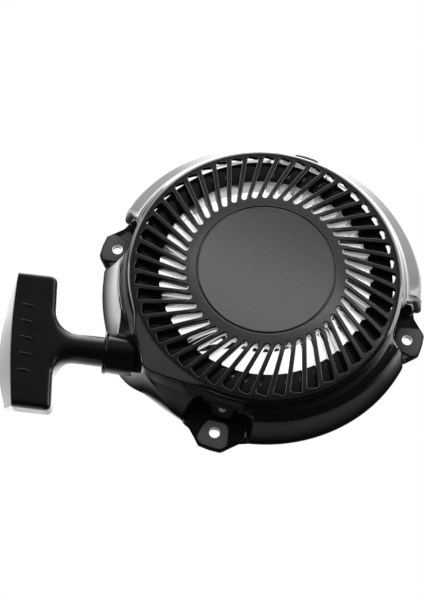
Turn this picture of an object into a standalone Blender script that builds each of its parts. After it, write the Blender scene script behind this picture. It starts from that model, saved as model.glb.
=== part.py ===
# Recoil (pull) starter for a small vertical-shaft engine.
# Frame: origin at the centre of the four mounting holes on the pulley axis,
# z = 0 on the underside of the mounting ears, +Z out of the grille face,
# the rope leaves along -X.  Metres.
import bpy
import bmesh
import math
from mathutils import Vector, Matrix

MM = 0.001

# ---------------------------------------------------------------- dimensions
HOLE_RADIUS_PCD = 102.5      # mounting holes: 145 mm square
HOLE_R = 3.5
EAR_ANGLES = (78.25, 168.25, 258.25, 348.25)
EAR_TIP_R = 113.4
EAR_THICK = 4.0
PAD_TOP = 5.2

FACE_Z = 47.6                # centre disc
GROOVE_R = 44.8
HUB_R = 52.0                 # slots start
HUB_Z = 46.9
SLOT_OUT_R = 84.2
SLOT_OUT_Z = 43.7
RIM_R = 89.7
RIM_Z = 41.5
SLOT_COUNT = 48
SLOT_OUT_ANGLE = 3.3         # outer end of the first slot
SLOT_SKEW = 10.9             # inner end leads the outer end
SLOT_W_OUT = 7.2
SLOT_W_IN = 3.2
FIN_BOTTOM = 38.0
BAFFLE_BOTTOM = 36.0
BAFFLE_R = 85.0
WALL_R = 69.2                # inner air wall
WALL_T = 2.0
WALL_BOTTOM = 20.5
SHELL_T = 2.4

POST_R = 9.0
POST_BOTTOM = 9.9
SPRING_POCKET_R = 36.9

ROPE_D = 4.0
OUTLET_Y = -61.0
OUTLET_Z = 23.0
COLLAR_R = 13.2
COLLAR_END_X = -97.2

GROOVE_CORE_R = 34.9
FLANGE_R = 46.0
LAYER_R = (37.8, 42.1)
ROPE_PITCH = 4.4

PAWL_PIVOT_R = 25.0
PAWL_ANGLES = (120.0, 300.0)
PAWL_Z = (9.9, 13.6)

GRIP_LEN = 92.0
GRIP_X = (-157.0, -129.0)
GRIP_Z = (12.0, 34.0)
GRIP_Y = -61.0
GRIP_SHEAR = 0.105           # the grip hangs a little askew to its stem
STEM_R = 9.8

# ---------------------------------------------------------------- scene setup
for ob in list(bpy.data.objects):
    bpy.data.objects.remove(ob, do_unlink=True)

PARTS = bpy.data.collections.new("recoil_starter")
CUTTERS = bpy.data.collections.new("cutters")
bpy.context.scene.collection.children.link(PARTS)
bpy.context.scene.collection.children.link(CUTTERS)


def material(name, color, roughness, metallic=0.0):
    mat = bpy.data.materials.new(name)
    mat.use_nodes = True
    bsdf = mat.node_tree.nodes["Principled BSDF"]
    bsdf.inputs["Base Color"].default_value = (color[0], color[1], color[2], 1.0)
    bsdf.inputs["Roughness"].default_value = roughness
    bsdf.inputs["Metallic"].default_value = metallic
    return mat


def pol(radius, degrees, z=0.0):
    a = math.radians(degrees)
    return (radius * math.cos(a), radius * math.sin(a), z)


def mesh_object(name, verts, faces, mat=None, cutter=False, recalc=False):
    """Object from points in millimetres."""
    me = bpy.data.meshes.new(name)
    me.from_pydata([(v[0] * MM, v[1] * MM, v[2] * MM) for v in verts], [], faces)
    me.update()
    if recalc:
        bm = bmesh.new()
        bm.from_mesh(me)
        bmesh.ops.recalc_face_normals(bm, faces=bm.faces[:])
        bm.to_mesh(me)
        bm.free()
    ob = bpy.data.objects.new(name, me)
    if cutter:
        CUTTERS.objects.link(ob)
        ob.hide_render = True
        ob.display_type = 'WIRE'
    else:
        PARTS.objects.link(ob)
    if mat is not None:
        me.materials.append(mat)
    return ob


def smooth(ob, angle=35.0):
    ob.data.shade_smooth()
    ob.data.set_sharp_from_angle(angle=math.radians(angle))


def bake(ob):
    """Apply the object's modifiers, keeping its name and place."""
    dg = bpy.context.evaluated_depsgraph_get()
    me = bpy.data.meshes.new_from_object(ob.evaluated_get(dg))
    mats = [m for m in ob.data.materials]
    ob.modifiers.clear()
    ob.data = me
    if mats and not me.materials:
        for m in mats:
            me.materials.append(m)
    return ob


def turned(name, profile, steps, mat=None, cutter=False, closed=True):
    """Solid of revolution about Z.  The profile is in millimetres and runs
    down its outer side; a closed loop makes a ring, an open one starts and
    ends on the axis."""
    n = len(profile)
    me = bpy.data.meshes.new(name)
    edges = [(i, i + 1) for i in range(n - 1)]
    if closed:
        edges.append((n - 1, 0))
    me.from_pydata([(r * MM, 0.0, z * MM) for r, z in profile], edges, [])
    ob = bpy.data.objects.new(name, me)
    (CUTTERS if cutter else PARTS).objects.link(ob)
    if cutter:
        ob.hide_render = True
        ob.display_type = 'WIRE'
    if mat is not None:
        me.materials.append(mat)
    scr = ob.modifiers.new("turn", 'SCREW')
    scr.axis = 'Z'
    scr.angle = math.radians(360.0)
    scr.steps = steps
    scr.render_steps = steps
    scr.use_merge_vertices = True
    scr.merge_threshold = 0.00001
    scr.use_smooth_shade = True
    return bake(ob)


def prism(name, outline, z0, z1, mat=None, cutter=False):
    """Straight prism over an outline in millimetres."""
    n = len(outline)
    area = sum(outline[i][0] * outline[(i + 1) % n][1]
               - outline[(i + 1) % n][0] * outline[i][1] for i in range(n))
    pts = list(outline) if area > 0 else list(reversed(outline))
    verts = [(x, y, z0) for x, y in pts] + [(x, y, z1) for x, y in pts]
    faces = [tuple(reversed(range(n))), tuple(range(n, 2 * n))]
    for i in range(n):
        j = (i + 1) % n
        faces.append((i, j, n + j, n + i))
    return mesh_object(name, verts, faces, mat, cutter)


def cylinder(name, radius, start, end, segments, mat=None, cutter=False, radius2=None):
    """Cylinder or cone between two points in millimetres."""
    a = Vector(start) * MM
    b = Vector(end) * MM
    d = b - a
    bm = bmesh.new()
    bmesh.ops.create_cone(bm, cap_ends=True, cap_tris=False, segments=segments,
                          radius1=radius * MM,
                          radius2=(radius if radius2 is None else radius2) * MM,
                          depth=d.length)
    rot = d.to_track_quat('Z', 'Y').to_matrix().to_4x4()
    bmesh.ops.transform(bm, matrix=Matrix.Translation((a + b) / 2) @ rot, verts=bm.verts[:])
    me = bpy.data.meshes.new(name)
    bm.to_mesh(me)
    bm.free()
    ob = bpy.data.objects.new(name, me)
    (CUTTERS if cutter else PARTS).objects.link(ob)
    if cutter:
        ob.hide_render = True
        ob.display_type = 'WIRE'
    if mat is not None:
        me.materials.append(mat)
    return ob


def tube_curve(name, points, radius, mat, resolution=2, cyclic=False):
    """Round wire through points (millimetres), made a closed mesh."""
    cu = bpy.data.curves.new(name, 'CURVE')
    cu.dimensions = '3D'
    cu.bevel_depth = radius * MM
    cu.bevel_resolution = resolution
    cu.use_fill_caps = True
    sp = cu.splines.new('POLY')
    sp.points.add(len(points) - 1)
    for p, q in zip(sp.points, points):
        p.co = (q[0] * MM, q[1] * MM, q[2] * MM, 1.0)
    sp.use_cyclic_u = cyclic
    ob = bpy.data.objects.new(name + "_path", cu)
    PARTS.objects.link(ob)
    dg = bpy.context.evaluated_depsgraph_get()
    me = bpy.data.meshes.new_from_object(ob.evaluated_get(dg))
    bm = bmesh.new()
    bm.from_mesh(me)
    bmesh.ops.remove_doubles(bm, verts=bm.verts[:], dist=0.00001)
    bmesh.ops.recalc_face_normals(bm, faces=bm.faces[:])
    bm.to_mesh(me)
    bm.free()
    mw = ob.matrix_world.copy()
    bpy.data.objects.remove(ob, do_unlink=True)
    out = bpy.data.objects.new(name, me)
    out.matrix_world = mw
    PARTS.objects.link(out)
    me.materials.clear()
    me.materials.append(mat)
    smooth(out, 50.0)
    return out


def boolean(ob, other, operation, keep_cutter=True):
    mod = ob.modifiers.new(operation.lower(), 'BOOLEAN')
    mod.operation = operation
    mod.solver = 'EXACT'
    mod.object = other
    bake(ob)
    if other.name in PARTS.objects:
        PARTS.objects.unlink(other)
        CUTTERS.objects.link(other)
    other.hide_render = True
    other.display_type = 'WIRE'
    if not keep_cutter:
        bpy.data.objects.remove(other, do_unlink=True)
    return ob


def pivot_at(ob, x, y, z=0.0):
    """Move the object's origin to a point in millimetres without moving it."""
    off = Vector((x, y, z)) * MM
    ob.data.transform(Matrix.Translation(-off))
    ob.location = off


def interp(x, table):
    """Piecewise linear look-up."""
    if x <= table[0][0]:
        return table[0][1]
    for (x0, y0), (x1, y1) in zip(table, table[1:]):
        if x <= x1:
            return y0 + (y1 - y0) * (x - x0) / (x1 - x0)
    return table[-1][1]


# ---------------------------------------------------------------- materials
M_SHELL = material("shell_plastic", (0.018, 0.018, 0.020), 0.32)
M_INNER = material("inner_plastic", (0.025, 0.025, 0.027), 0.45)
M_STEEL = material("zinc_steel", (0.62, 0.62, 0.60), 0.35, 1.0)
M_SPRING = material("spring_steel", (0.20, 0.21, 0.23), 0.30, 1.0)
M_ROPE = material("braided_rope", (0.30, 0.26, 0.21), 0.9)
M_GRIP = material("grip_plastic", (0.020, 0.020, 0.021), 0.42)
M_PAWL = material("pawl_nylon", (0.05, 0.05, 0.055), 0.5)

# ---------------------------------------------------------------- housing
# Face, hub, air wall, spring pocket wall and centre post, turned in one piece.
face_profile = [
    (0.0, FACE_Z), (GROOVE_R - 0.6, FACE_Z), (GROOVE_R - 0.6, FACE_Z - 0.8),
    (GROOVE_R + 0.6, FACE_Z - 0.8), (GROOVE_R + 0.6, FACE_Z - 0.1),
    (HUB_R, HUB_Z), (SLOT_OUT_R, SLOT_OUT_Z), (RIM_R - 1.4, RIM_Z + 1.6),
    (RIM_R, RIM_Z), (RIM_R + 2.6, 31.8),
    (90.1, 31.8), (87.2, 40.1), (BAFFLE_R, 40.5), (BAFFLE_R, BAFFLE_BOTTOM),
    (WALL_R + WALL_T, BAFFLE_BOTTOM), (WALL_R + WALL_T, WALL_BOTTOM),
    (WALL_R, WALL_BOTTOM), (WALL_R, FIN_BOTTOM + 0.3), (HUB_R - 0.4, FIN_BOTTOM + 0.3),
    (HUB_R - 1.6, 44.4), (SPRING_POCKET_R + 2.0, 44.4), (SPRING_POCKET_R + 2.0, 34.2),
    (SPRING_POCKET_R, 34.2), (SPRING_POCKET_R, 44.4), (POST_R, 44.4),
    (POST_R, POST_BOTTOM), (3.1, POST_BOTTOM), (3.1, 30.0), (0.0, 30.0)]
housing = turned("housing", face_profile, 40, M_SHELL, closed=False)

# Outer skirt: a loft around the axis whose section changes at the four ear
# pockets and at the rope outlet block.
POCKET_HALF_RIM = 6.6
POCKET_HALF_OUT = 12.5
BLOCK_EDGE = ((186.0, 89.7), (194.0, 90.0), (201.3, 90.8), (207.0, 92.2), (213.0, 94.2), (219.0, 96.6),
              (223.5, 99.8), (226.5, 102.4), (228.5, 102.4), (231.0, 100.2), (234.0, 98.2),
              (238.0, 95.4), (241.0, 93.9), (245.0, 91.9), (248.6, 90.3), (251.0, 89.7))
BASE_EDGE = ((190.0, 106.5), (198.0, 106.8), (208.0, 107.5), (214.0, 109.4), (218.0, 110.4),
             (222.0, 109.4), (224.0, 108.0), (228.0, 104.6), (231.0, 103.4), (235.0, 102.8),
             (241.0, 102.3), (246.0, 102.6), (252.0, 103.5))
RIDGE_Z = ((214.0, 13.0), (218.0, 16.0), (222.0, 24.0), (226.0, 33.0), (228.5, 37.0),
           (231.0, 30.0), (235.0, 18.0), (239.0, 7.5), (241.0, 3.0), (250.0, 3.0))
BLOCK_WEIGHT = ((200.0, 0.0), (207.0, 0.15), (212.0, 0.7), (215.0, 1.0), (246.0, 1.0), (251.0, 0.9),
                (256.0, 0.0))


def base_radius(th):
    r = 105.3 + 1.7 * math.cos(math.radians(2.0 * th))
    if 190.0 < th < 252.0:
        return interp(th, BASE_EDGE)
    return r


def section(th, pocket, inner=False):
    """Skirt section (radius, z) at an angle, top to bottom; the inner one
    lies a wall thickness behind the outer one."""
    rb = base_radius(th)
    t = SHELL_T
    if pocket and inner:
        return [(87.7, 39.2), (88.0, 38.2), (88.4, 36.0), (89.2, 32.6), (89.6, 30.0),
                (89.8, 27.0), (90.0, 23.0), (90.2, 19.0), (90.4, 14.0),
                (90.6, 9.0), (90.7, 3.6), (90.8, 0.0)]
    if pocket:
        return [(88.3, 40.0), (88.8, 39.0), (89.9, 36.5), (91.5, 33.0), (92.0, 30.2),
                (92.2, 27.0), (92.4, 23.0), (92.6, 19.0), (92.8, 14.0),
                (93.0, 9.0), (93.1, 3.6), (93.2, 0.0)]
    if inner:
        normal = [(87.7, 39.2), (88.0, 38.2), (88.4, 36.0), (89.3, 32.4), (90.9, 28.2),
                  (rb - 9.0, 27.0), (rb - 6.2, 25.0), (rb - 4.3, 21.9), (rb - 3.4, 17.2),
                  (rb - 0.5 - t, 9.0), (rb - 0.1 - t, 3.6), (rb - t, 0.0)]
    else:
        normal = [(88.3, 40.0), (88.8, 39.0), (89.9, 36.5), (91.5, 33.0), (93.4, 30.2),
                  (rb - 7.9, 29.3), (rb - 4.1, 26.8), (rb - 1.8, 22.8), (rb - 1.0, 17.5),
                  (rb - 0.5, 9.0), (rb - 0.1, 3.6), (rb, 0.0)]
    w = interp(th, BLOCK_WEIGHT)
    if w <= 0.0 or not 190.0 < th < 262.0:
        return normal
    re = max(interp(th, BLOCK_EDGE), RIM_R)
    zr = interp(th, RIDGE_Z)
    ridge_r = rb - 0.02 * zr
    zs = min(max(33.0, zr + 1.0), 38.0)
    sr = min(re + 1.2, ridge_r - 0.3)
    if inner:
        top = [(87.7, 39.2), (88.0, 39.5), (max(re - 3.4, 88.4), 39.6),
               (max(re - 2.6, 88.8), 38.9), (max(re - 2.0, 89.2), max(36.4, zs - 0.9))]
        dr, dz = -t, -1.2
    else:
        top = [(87.6, 41.2), (88.0, 42.4), (re - 1.5, 42.2), (re - 0.3, 41.3),
               (re + 0.4, max(38.4, zs + 0.4))]
        dr, dz = 0.0, 0.0
    facet = []
    for k in range(3):
        f = k / 3.0
        facet.append((sr + (ridge_r - sr) * f + dr, zs + (zr - zs) * f + dz))
    block = top + facet + [(ridge_r + dr, zr + max(dz, -0.2 * zr) if inner else zr),
                           (ridge_r + (rb - ridge_r) * 0.4 + dr, zr * 0.6),
                           (ridge_r + (rb - ridge_r) * 0.8 + dr, zr * 0.25), (rb + dr, 0.0)]
    return [((1 - w) * p[0] + w * q[0], (1 - w) * p[1] + w * q[1]) for p, q in zip(normal, block)]


def skirt_columns():
    """(angle, kind, ear centre) around the axis."""
    cols = []
    step = 7.5
    for e in EAR_ANGLES:
        c = e
        for u in (-1.0, 0.0, 1.0):
            cols.append((c, u, True))
        lo = c + POCKET_HALF_OUT
        hi = c + 90.0 - POCKET_HALF_OUT
        n = int(round((hi - lo) / step))
        for k in range(n + 1):
            cols.append((c, lo + (hi - lo) * k / n, False))
    return cols


def column_angle(center, value, is_pocket, s, grow):
    """Angle of a column at a level.  s: 0 at the rim, 1 at the outer wall."""
    half = POCKET_HALF_RIM + (POCKET_HALF_OUT - POCKET_HALF_RIM) * s + grow
    if is_pocket:
        return center + value * half
    lo0, hi0 = center + POCKET_HALF_OUT, center + 90.0 - POCKET_HALF_OUT
    lo1, hi1 = center + half + 0.9, center + 90.0 - half - 0.9
    return lo1 + (hi1 - lo1) * (value - lo0) / (hi0 - lo0)


LEVELS = (0, 2, 3, 4, 5, 6, 7, 8, 10, 11)
LEVEL_S = (0.0, 0.0, 0.0, 0.05, 0.15, 0.55, 0.80, 0.92, 1.0, 1.0, 1.0, 1.0)


def skirt_mesh():
    cols = skirt_columns()
    n = len(LEVELS)
    verts = []
    for center, value, is_pocket in cols:
        for inner, grow in ((False, 0.0), (True, 1.45)):
            for i in LEVELS:
                th = column_angle(center, value, is_pocket, LEVEL_S[i], grow)
                r, z = section(th % 360.0, is_pocket, inner)[i]
                verts.append(pol(r, th, z))
    m = len(cols)
    faces = []
    for j in range(m):
        a = j * 2 * n
        b = ((j + 1) % m) * 2 * n
        for i in range(n - 1):
            faces.append((a + i, a + i + 1, b + i + 1, b + i))
            faces.append((a + n + i, b + n + i, b + n + i + 1, a + n + i + 1))
        faces.append((a, b, b + n, a + n))
        faces.append((a + n - 1, a + 2 * n - 1, b + 2 * n - 1, b + n - 1))
    return verts, faces


sv, sf = skirt_mesh()
skirt = mesh_object("skirt_loft", sv, sf, M_SHELL, recalc=True)
boolean(housing, skirt, 'UNION', keep_cutter=False)


# Ears with raised pads, each in its own radial frame.
def ear_outline(angle, pts):
    a = math.radians(angle)
    er = (math.cos(a), math.sin(a))
    et = (-math.sin(a), math.cos(a))
    return [(r * er[0] + t * et[0], r * er[1] + t * et[1]) for r, t in pts]


for k, ang in enumerate(EAR_ANGLES):
    floor_pts = [(91.6, -20.0), (100.6, -23.6), (103.2, -17.0), (108.8, -11.4), (112.8, -7.8),
                 (113.4, 0.0), (112.8, 7.8), (108.8, 11.4), (103.2, 17.0), (100.6, 23.6), (91.6, 20.0)]
    ear = prism("ear_%d" % k, ear_outline(ang, floor_pts), 0.0, EAR_THICK, M_SHELL)
    boolean(housing, ear, 'UNION', keep_cutter=False)
    pad_pts = [(95.2, -6.4), (101.6, -9.4), (109.2, -10.4), (112.3, -7.3), (112.9, 6.6),
               (108.7, 10.5), (95.6, 7.6), (94.0, 5.2)]
    pad = prism("pad_%d" % k, ear_outline(ang, pad_pts), 1.0, PAD_TOP, M_SHELL)
    boolean(housing, pad, 'UNION', keep_cutter=False)

# Rope outlet collar.
collar = cylinder("collar", COLLAR_R, (COLLAR_END_X, OUTLET_Y, OUTLET_Z),
                  (-76.5, OUTLET_Y, OUTLET_Z), 32, M_SHELL)
boolean(housing, collar, 'UNION', keep_cutter=False)


# Stiffening ribs under every fourth fin, hub to air wall.
def slot_line(k, at_fin=False):
    """Centre line of slot k (or of the fin after it): outer and inner point."""
    a = SLOT_OUT_ANGLE + 360.0 / SLOT_COUNT * (k + (0.5 if at_fin else 0.0))
    return pol(SLOT_OUT_R, a), pol(HUB_R, a + SLOT_SKEW)


RIB_T = 2.0
for k in range(0, SLOT_COUNT, 4):
    (xo, yo, _), (xi, yi, _) = slot_line(k + 1, True)
    d = Vector((xo - xi, yo - yi)).normalized()
    nrm = Vector((-d.y, d.x))
    inner_p = Vector((xi, yi)) - d * 1.4
    outer_p = Vector((xi, yi)) + d * 19.8
    pts = [inner_p - nrm * RIB_T / 2, outer_p - nrm * RIB_T / 2,
           outer_p + nrm * RIB_T / 2, inner_p + nrm * RIB_T / 2]
    rib = prism("rib_%d" % k, [(p.x, p.y) for p in pts], 26.0, 39.6, M_SHELL)
    boolean(housing, rib, 'UNION', keep_cutter=False)


# Air slots: one cutter holding all the skewed, tapered slots.
def slot_outline(k):
    (xo, yo, _), (xi, yi, _) = slot_line(k)
    o, i = Vector((xo, yo)), Vector((xi, yi))
    d = (o - i).normalized()
    n = Vector((-d.y, d.x))
    wo, wi = SLOT_W_OUT / 2, SLOT_W_IN / 2
    pts = [o - n * (wo - 1.6), o + n * (wo - 1.6), o - d * 1.6 + n * wo]
    pts += [i + d * wi * 0.9 + n * wi, i - d * 0.1, i + d * wi * 0.9 - n * wi]
    pts += [o - d * 1.6 - n * wo]
    return [(p.x, p.y) for p in pts]


slot_verts, slot_faces = [], []
for k in range(SLOT_COUNT):
    pts = slot_outline(k)
    n = len(pts)
    area = sum(pts[i][0] * pts[(i + 1) % n][1] - pts[(i + 1) % n][0] * pts[i][1] for i in range(n))
    if area < 0:
        pts.reverse()
    base = len(slot_verts)
    slot_verts += [(x, y, FIN_BOTTOM) for x, y in pts] + [(x, y, 60.0) for x, y in pts]
    slot_faces.append(tuple(base + i for i in reversed(range(n))))
    slot_faces.append(tuple(base + n + i for i in range(n)))
    for i in range(n):
        j = (i + 1) % n
        slot_faces.append((base + i, base + j, base + n + j, base + n + i))
slots = mesh_object("slot_cutters", slot_verts, slot_faces, cutter=True)
boolean(housing, slots, 'DIFFERENCE')

# Mounting holes.
for k, ang in enumerate(EAR_ANGLES):
    x, y, _ = pol(HOLE_RADIUS_PCD, ang)
    hole = cylinder("hole_cutter_%d" % k, HOLE_R, (x, y, -2.0), (x, y, 8.0), 24, cutter=True)
    boolean(housing, hole, 'DIFFERENCE')

# Rope outlet: wide mouth for the handle stem, then the guide's seat, then a
# window through the air wall.
mouth = cylinder("mouth_cutter", 10.6, (-99.0, OUTLET_Y, OUTLET_Z), (-88.0, OUTLET_Y, OUTLET_Z), 28, cutter=True)
boolean(housing, mouth, 'DIFFERENCE')
seat = cylinder("seat_cutter", 6.0, (-90.0, OUTLET_Y, OUTLET_Z), (-60.0, OUTLET_Y, OUTLET_Z), 24, cutter=True)
boolean(housing, seat, 'DIFFERENCE')
EYE = (-80.0, OUTLET_Y, OUTLET_Z)
eye_dist = math.hypot(EYE[0], EYE[1])
eye_ang = math.degrees(math.atan2(EYE[1], EYE[0]))
tan_ang = eye_ang + math.degrees(math.acos(LAYER_R[1] / eye_dist))
TANGENT = pol(LAYER_R[1], tan_ang, OUTLET_Z)
tdir = Vector((EYE[0] - TANGENT[0], EYE[1] - TANGENT[1], 0.0)).normalized()
w0 = Vector(TANGENT) + tdir * 42.0
w1 = Vector(TANGENT) + tdir * 72.0
wn = Vector((-tdir.y, tdir.x, 0.0))
window = prism("window_cutter", [((w0 - wn * 6).x, (w0 - wn * 6).y), ((w1 - wn * 6).x, (w1 - wn * 6).y),
                                 ((w1 + wn * 6).x, (w1 + wn * 6).y), ((w0 + wn * 6).x, (w0 + wn * 6).y)],
               15.0, 30.0, cutter=True)
boolean(housing, window, 'DIFFERENCE')

housing.data.materials.clear()
housing.data.materials.append(M_SHELL)
smooth(housing, 30.0)

# ---------------------------------------------------------------- rope guide
guide_len0, guide_len1 = -87.7, -76.0
guide_profile = [(8.6, 0.0), (8.6, 1.3), (5.7, 1.3), (5.7, 11.4), (3.4, 11.4), (2.8, 9.6), (2.8, 1.8), (4.0, 0.0)]
rope_guide = turned("rope_guide", [(r, -h) for r, h in guide_profile], 24, M_STEEL)
rope_guide.data.transform(Matrix.Rotation(math.radians(-90.0), 4, 'Y'))
rope_guide.data.transform(Matrix.Translation(Vector((-89.6, OUTLET_Y, OUTLET_Z)) * MM))
smooth(rope_guide)

# ---------------------------------------------------------------- mainspring
SPRING_Z = (35.2, 43.6)
SPRING_TURNS = 6
SPRING_T = 0.6


def spiral(r0, r1, turns, per_turn, phase):
    n = int(turns * per_turn)
    return [pol(r0 + (r1 - r0) * i / n, phase + 360.0 * turns * i / n) for i in range(n + 1)]


strip = spiral(13.6, 35.4, SPRING_TURNS, 18, 0.0)
hook_in = pol(12.9, -24.0)
hook_out = pol(33.2, 16.0)
strip = [hook_in] + strip + [hook_out]
sp_verts = [(x, y, SPRING_Z[0]) for x, y, _ in strip] + [(x, y, SPRING_Z[1]) for x, y, _ in strip]
ns = len(strip)
sp_faces = [(i, i + 1, ns + i + 1, ns + i) for i in range(ns - 1)]
mainspring = mesh_object("mainspring", sp_verts, sp_faces, M_SPRING)
sol = mainspring.modifiers.new("strip", 'SOLIDIFY')
sol.thickness = SPRING_T * MM
sol.offset = 0.0
smooth(mainspring, 40.0)

spring_keeper = turned("spring_keeper", [(38.4, 33.9), (38.4, 33.0), (15.4, 33.0), (15.4, 34.7), (16.2, 34.7),
                                         (16.2, 33.9)], 36, M_STEEL)
smooth(spring_keeper)

# ---------------------------------------------------------------- pulley
pulley_profile = [
    (12.6, 42.6), (12.6, 30.6), (FLANGE_R, 30.6), (FLANGE_R, 28.6), (GROOVE_CORE_R, 27.6),
    (GROOVE_CORE_R, 18.4), (FLANGE_R, 17.4), (FLANGE_R, 15.6), (14.8, 15.6), (14.8, 10.5),
    (12.3, 10.5), (12.3, 17.0), (POST_R + 0.3, 17.0), (POST_R + 0.3, 42.6)]
pulley = turned("pulley", pulley_profile, 32, M_INNER)
# Lightening pockets open to the underside.
for k in range(4):
    a0, a1 = 52.0 + 90.0 * k, 94.0 + 90.0 * k
    pts = [pol(32.4, a0 + (a1 - a0) * i / 5)[:2] for i in range(6)]
    pts += [pol(18.2, a1 - (a1 - a0) * i / 4)[:2] for i in range(5)]
    pocket = prism("pocket_cutter_%d" % k, pts, 12.0, 27.0, cutter=True)
    boolean(pulley, pocket, 'DIFFERENCE')
PAWL_PIVOTS = [pol(PAWL_PIVOT_R, a) for a in PAWL_ANGLES]
for k, (px, py, _) in enumerate(PAWL_PIVOTS):
    pin = cylinder("pin_%d" % k, 2.5, (px, py, 10.2), (px, py, 19.0), 16, M_INNER)
    boolean(pulley, pin, 'UNION', keep_cutter=False)
# Notch in the hub for the mainspring's inner hook.
hx, hy, _ = pol(12.6, -24.0)
notch = cylinder("hook_notch_cutter", 1.7, (hx, hy, 34.6), (hx, hy, 44.0), 12, cutter=True)
boolean(pulley, notch, 'DIFFERENCE')
pulley.data.materials.clear()
pulley.data.materials.append(M_INNER)
smooth(pulley)

# ---------------------------------------------------------------- rope
# The wound rope: an inner layer and an outer layer in the groove.
per_turn = 18
coil = []
z_lo, z_hi = OUTLET_Z - ROPE_PITCH / 2, OUTLET_Z + ROPE_PITCH / 2
turns = 3.65
n = int(turns * per_turn)
end_ang = tan_ang + 1.0
for i in range(n + 1):
    t = turns * i / n
    ang = end_ang + 360.0 * (turns - t)
    rad = interp(t, [(0.0, LAYER_R[0]), (1.8, LAYER_R[0]), (2.1, LAYER_R[1]), (turns, LAYER_R[1])])
    z = interp(t, [(0.0, z_hi), (0.8, z_hi), (1.05, z_lo), (2.8, z_lo), (3.08, z_hi), (turns, z_hi)])
    coil.append(pol(rad, ang, z))
rope_winding = tube_curve("rope_winding", coil, ROPE_D / 2 - 0.08, M_ROPE)

# The run from the pulley to the guide.
lead = []
p_start = Vector((TANGENT[0], TANGENT[1], z_hi)) + tdir * 0.4
p_end = Vector(EYE) - tdir * 1.0
for i in range(6):
    p = p_start.lerp(p_end, i / 5.0)
    lead.append((p.x, p.y, p.z))
lead += [(-81.6, OUTLET_Y, OUTLET_Z), (-83.6, OUTLET_Y, OUTLET_Z)]
rope_lead = tube_curve("rope_lead", lead, ROPE_D / 2, M_ROPE)

# The run through the guide and the handle, pulled out with the handle.
KNOT_X = -141.0
pull_pts = [(x, OUTLET_Y, OUTLET_Z) for x in (-84.2, -96.0, -110.0, -124.0, KNOT_X + 5.4)]
rope_pull = tube_curve("rope_pull", pull_pts, ROPE_D / 2, M_ROPE)


def lumpy_knot(name, center, axis, length, radius, mat, rings=9, seg=12):
    """Overhand knot: a closed lobed body about an axis."""
    c = Vector(center)
    ax = Vector(axis).normalized()
    up = Vector((0, 0, 1))
    u = ax.cross(up).normalized()
    v = ax.cross(u).normalized()
    verts = [tuple(c - ax * length / 2)]
    for i in range(1, rings):
        f = i / rings
        base = radius * math.sin(math.pi * f) ** 0.55
        for j in range(seg):
            a = 2 * math.pi * j / seg
            lobes = 1.0 + 0.14 * math.cos(2 * a + 4.2 * math.pi * f)
            p = c + ax * length * (f - 0.5) + (u * math.cos(a) + v * math.sin(a)) * base * lobes
            verts.append(tuple(p))
    verts.append(tuple(c + ax * length / 2))
    faces = []
    for j in range(seg):
        faces.append((0, 1 + (j + 1) % seg, 1 + j))
    for i in range(rings - 2):
        for j in range(seg):
            a, b = 1 + i * seg + j, 1 + i * seg + (j + 1) % seg
            faces.append((a, b, b + seg, a + seg))
    last = len(verts) - 1
    for j in range(seg):
        faces.append((last, 1 + (rings - 2) * seg + j, 1 + (rings - 2) * seg + (j + 1) % seg))
    ob = mesh_object(name, verts, faces, mat, recalc=True)
    smooth(ob, 80.0)
    return ob


kx, ky, _ = pol(52.8, 327.0)
rdir = pol(1.0, 327.0)
pulley_knot = lumpy_knot("pulley_knot", (kx, ky, 15.6), rdir, 12.6, 3.6, M_ROPE)

# ---------------------------------------------------------------- pawls
PAWL_LEAD = -37.0            # tip angle ahead of the pivot


def pawl_outline(k):
    """Outline in the pulley's plan: round eye, arm and squared tip."""
    ang = PAWL_ANGLES[k]
    p = Vector(pol(PAWL_PIVOT_R, ang)[:2])
    tip = Vector(pol(33.0, ang + PAWL_LEAD)[:2])
    d = (tip - p).normalized()
    n = Vector((-d.y, d.x))
    if n.dot(p) < 0:
        n = -n
    ln = (tip - p).length
    pts = []
    for i in range(9):
        a = math.radians(-62.0 + 304.0 * i / 8 - 90.0 + 0.0)
        # the eye, swept around the back of the pivot
        t = math.radians(62.0 + 236.0 * i / 8)
        pts.append(p + d * (5.2 * math.cos(t)) + n * (5.2 * math.sin(t)))
    pts += [p + d * (ln * 0.55) - n * 2.4, p + d * (ln - 0.8) - n * 1.6, p + d * ln - n * 0.2,
            p + d * (ln - 0.6) + n * 3.4, p + d * (ln * 0.55) + n * 3.6]
    return p, d, n, [(q.x, q.y) for q in pts]


PEG_AT = 10.5
pawls = []
pawl_frames = []
for k in range(2):
    p, d, nn, outline = pawl_outline(k)
    pawl = prism("pawl_%d" % (k + 1), outline, PAWL_Z[0], PAWL_Z[1], M_PAWL)
    bore = cylinder("pawl_bore_cutter_%d" % k, 2.8, (p.x, p.y, 5.0), (p.x, p.y, 18.0), 16, cutter=True)
    boolean(pawl, bore, 'DIFFERENCE')
    q = p + d * PEG_AT
    peg = cylinder("peg_%d" % k, 1.5, (q.x, q.y, 7.4), (q.x, q.y, 12.0), 12, M_PAWL)
    boolean(pawl, peg, 'UNION', keep_cutter=False)
    pawl.data.materials.clear()
    pawl.data.materials.append(M_PAWL)
    smooth(pawl)
    pivot_at(pawl, p.x, p.y)
    pawls.append(pawl)
    pawl_frames.append((p, d, nn, q))

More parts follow.
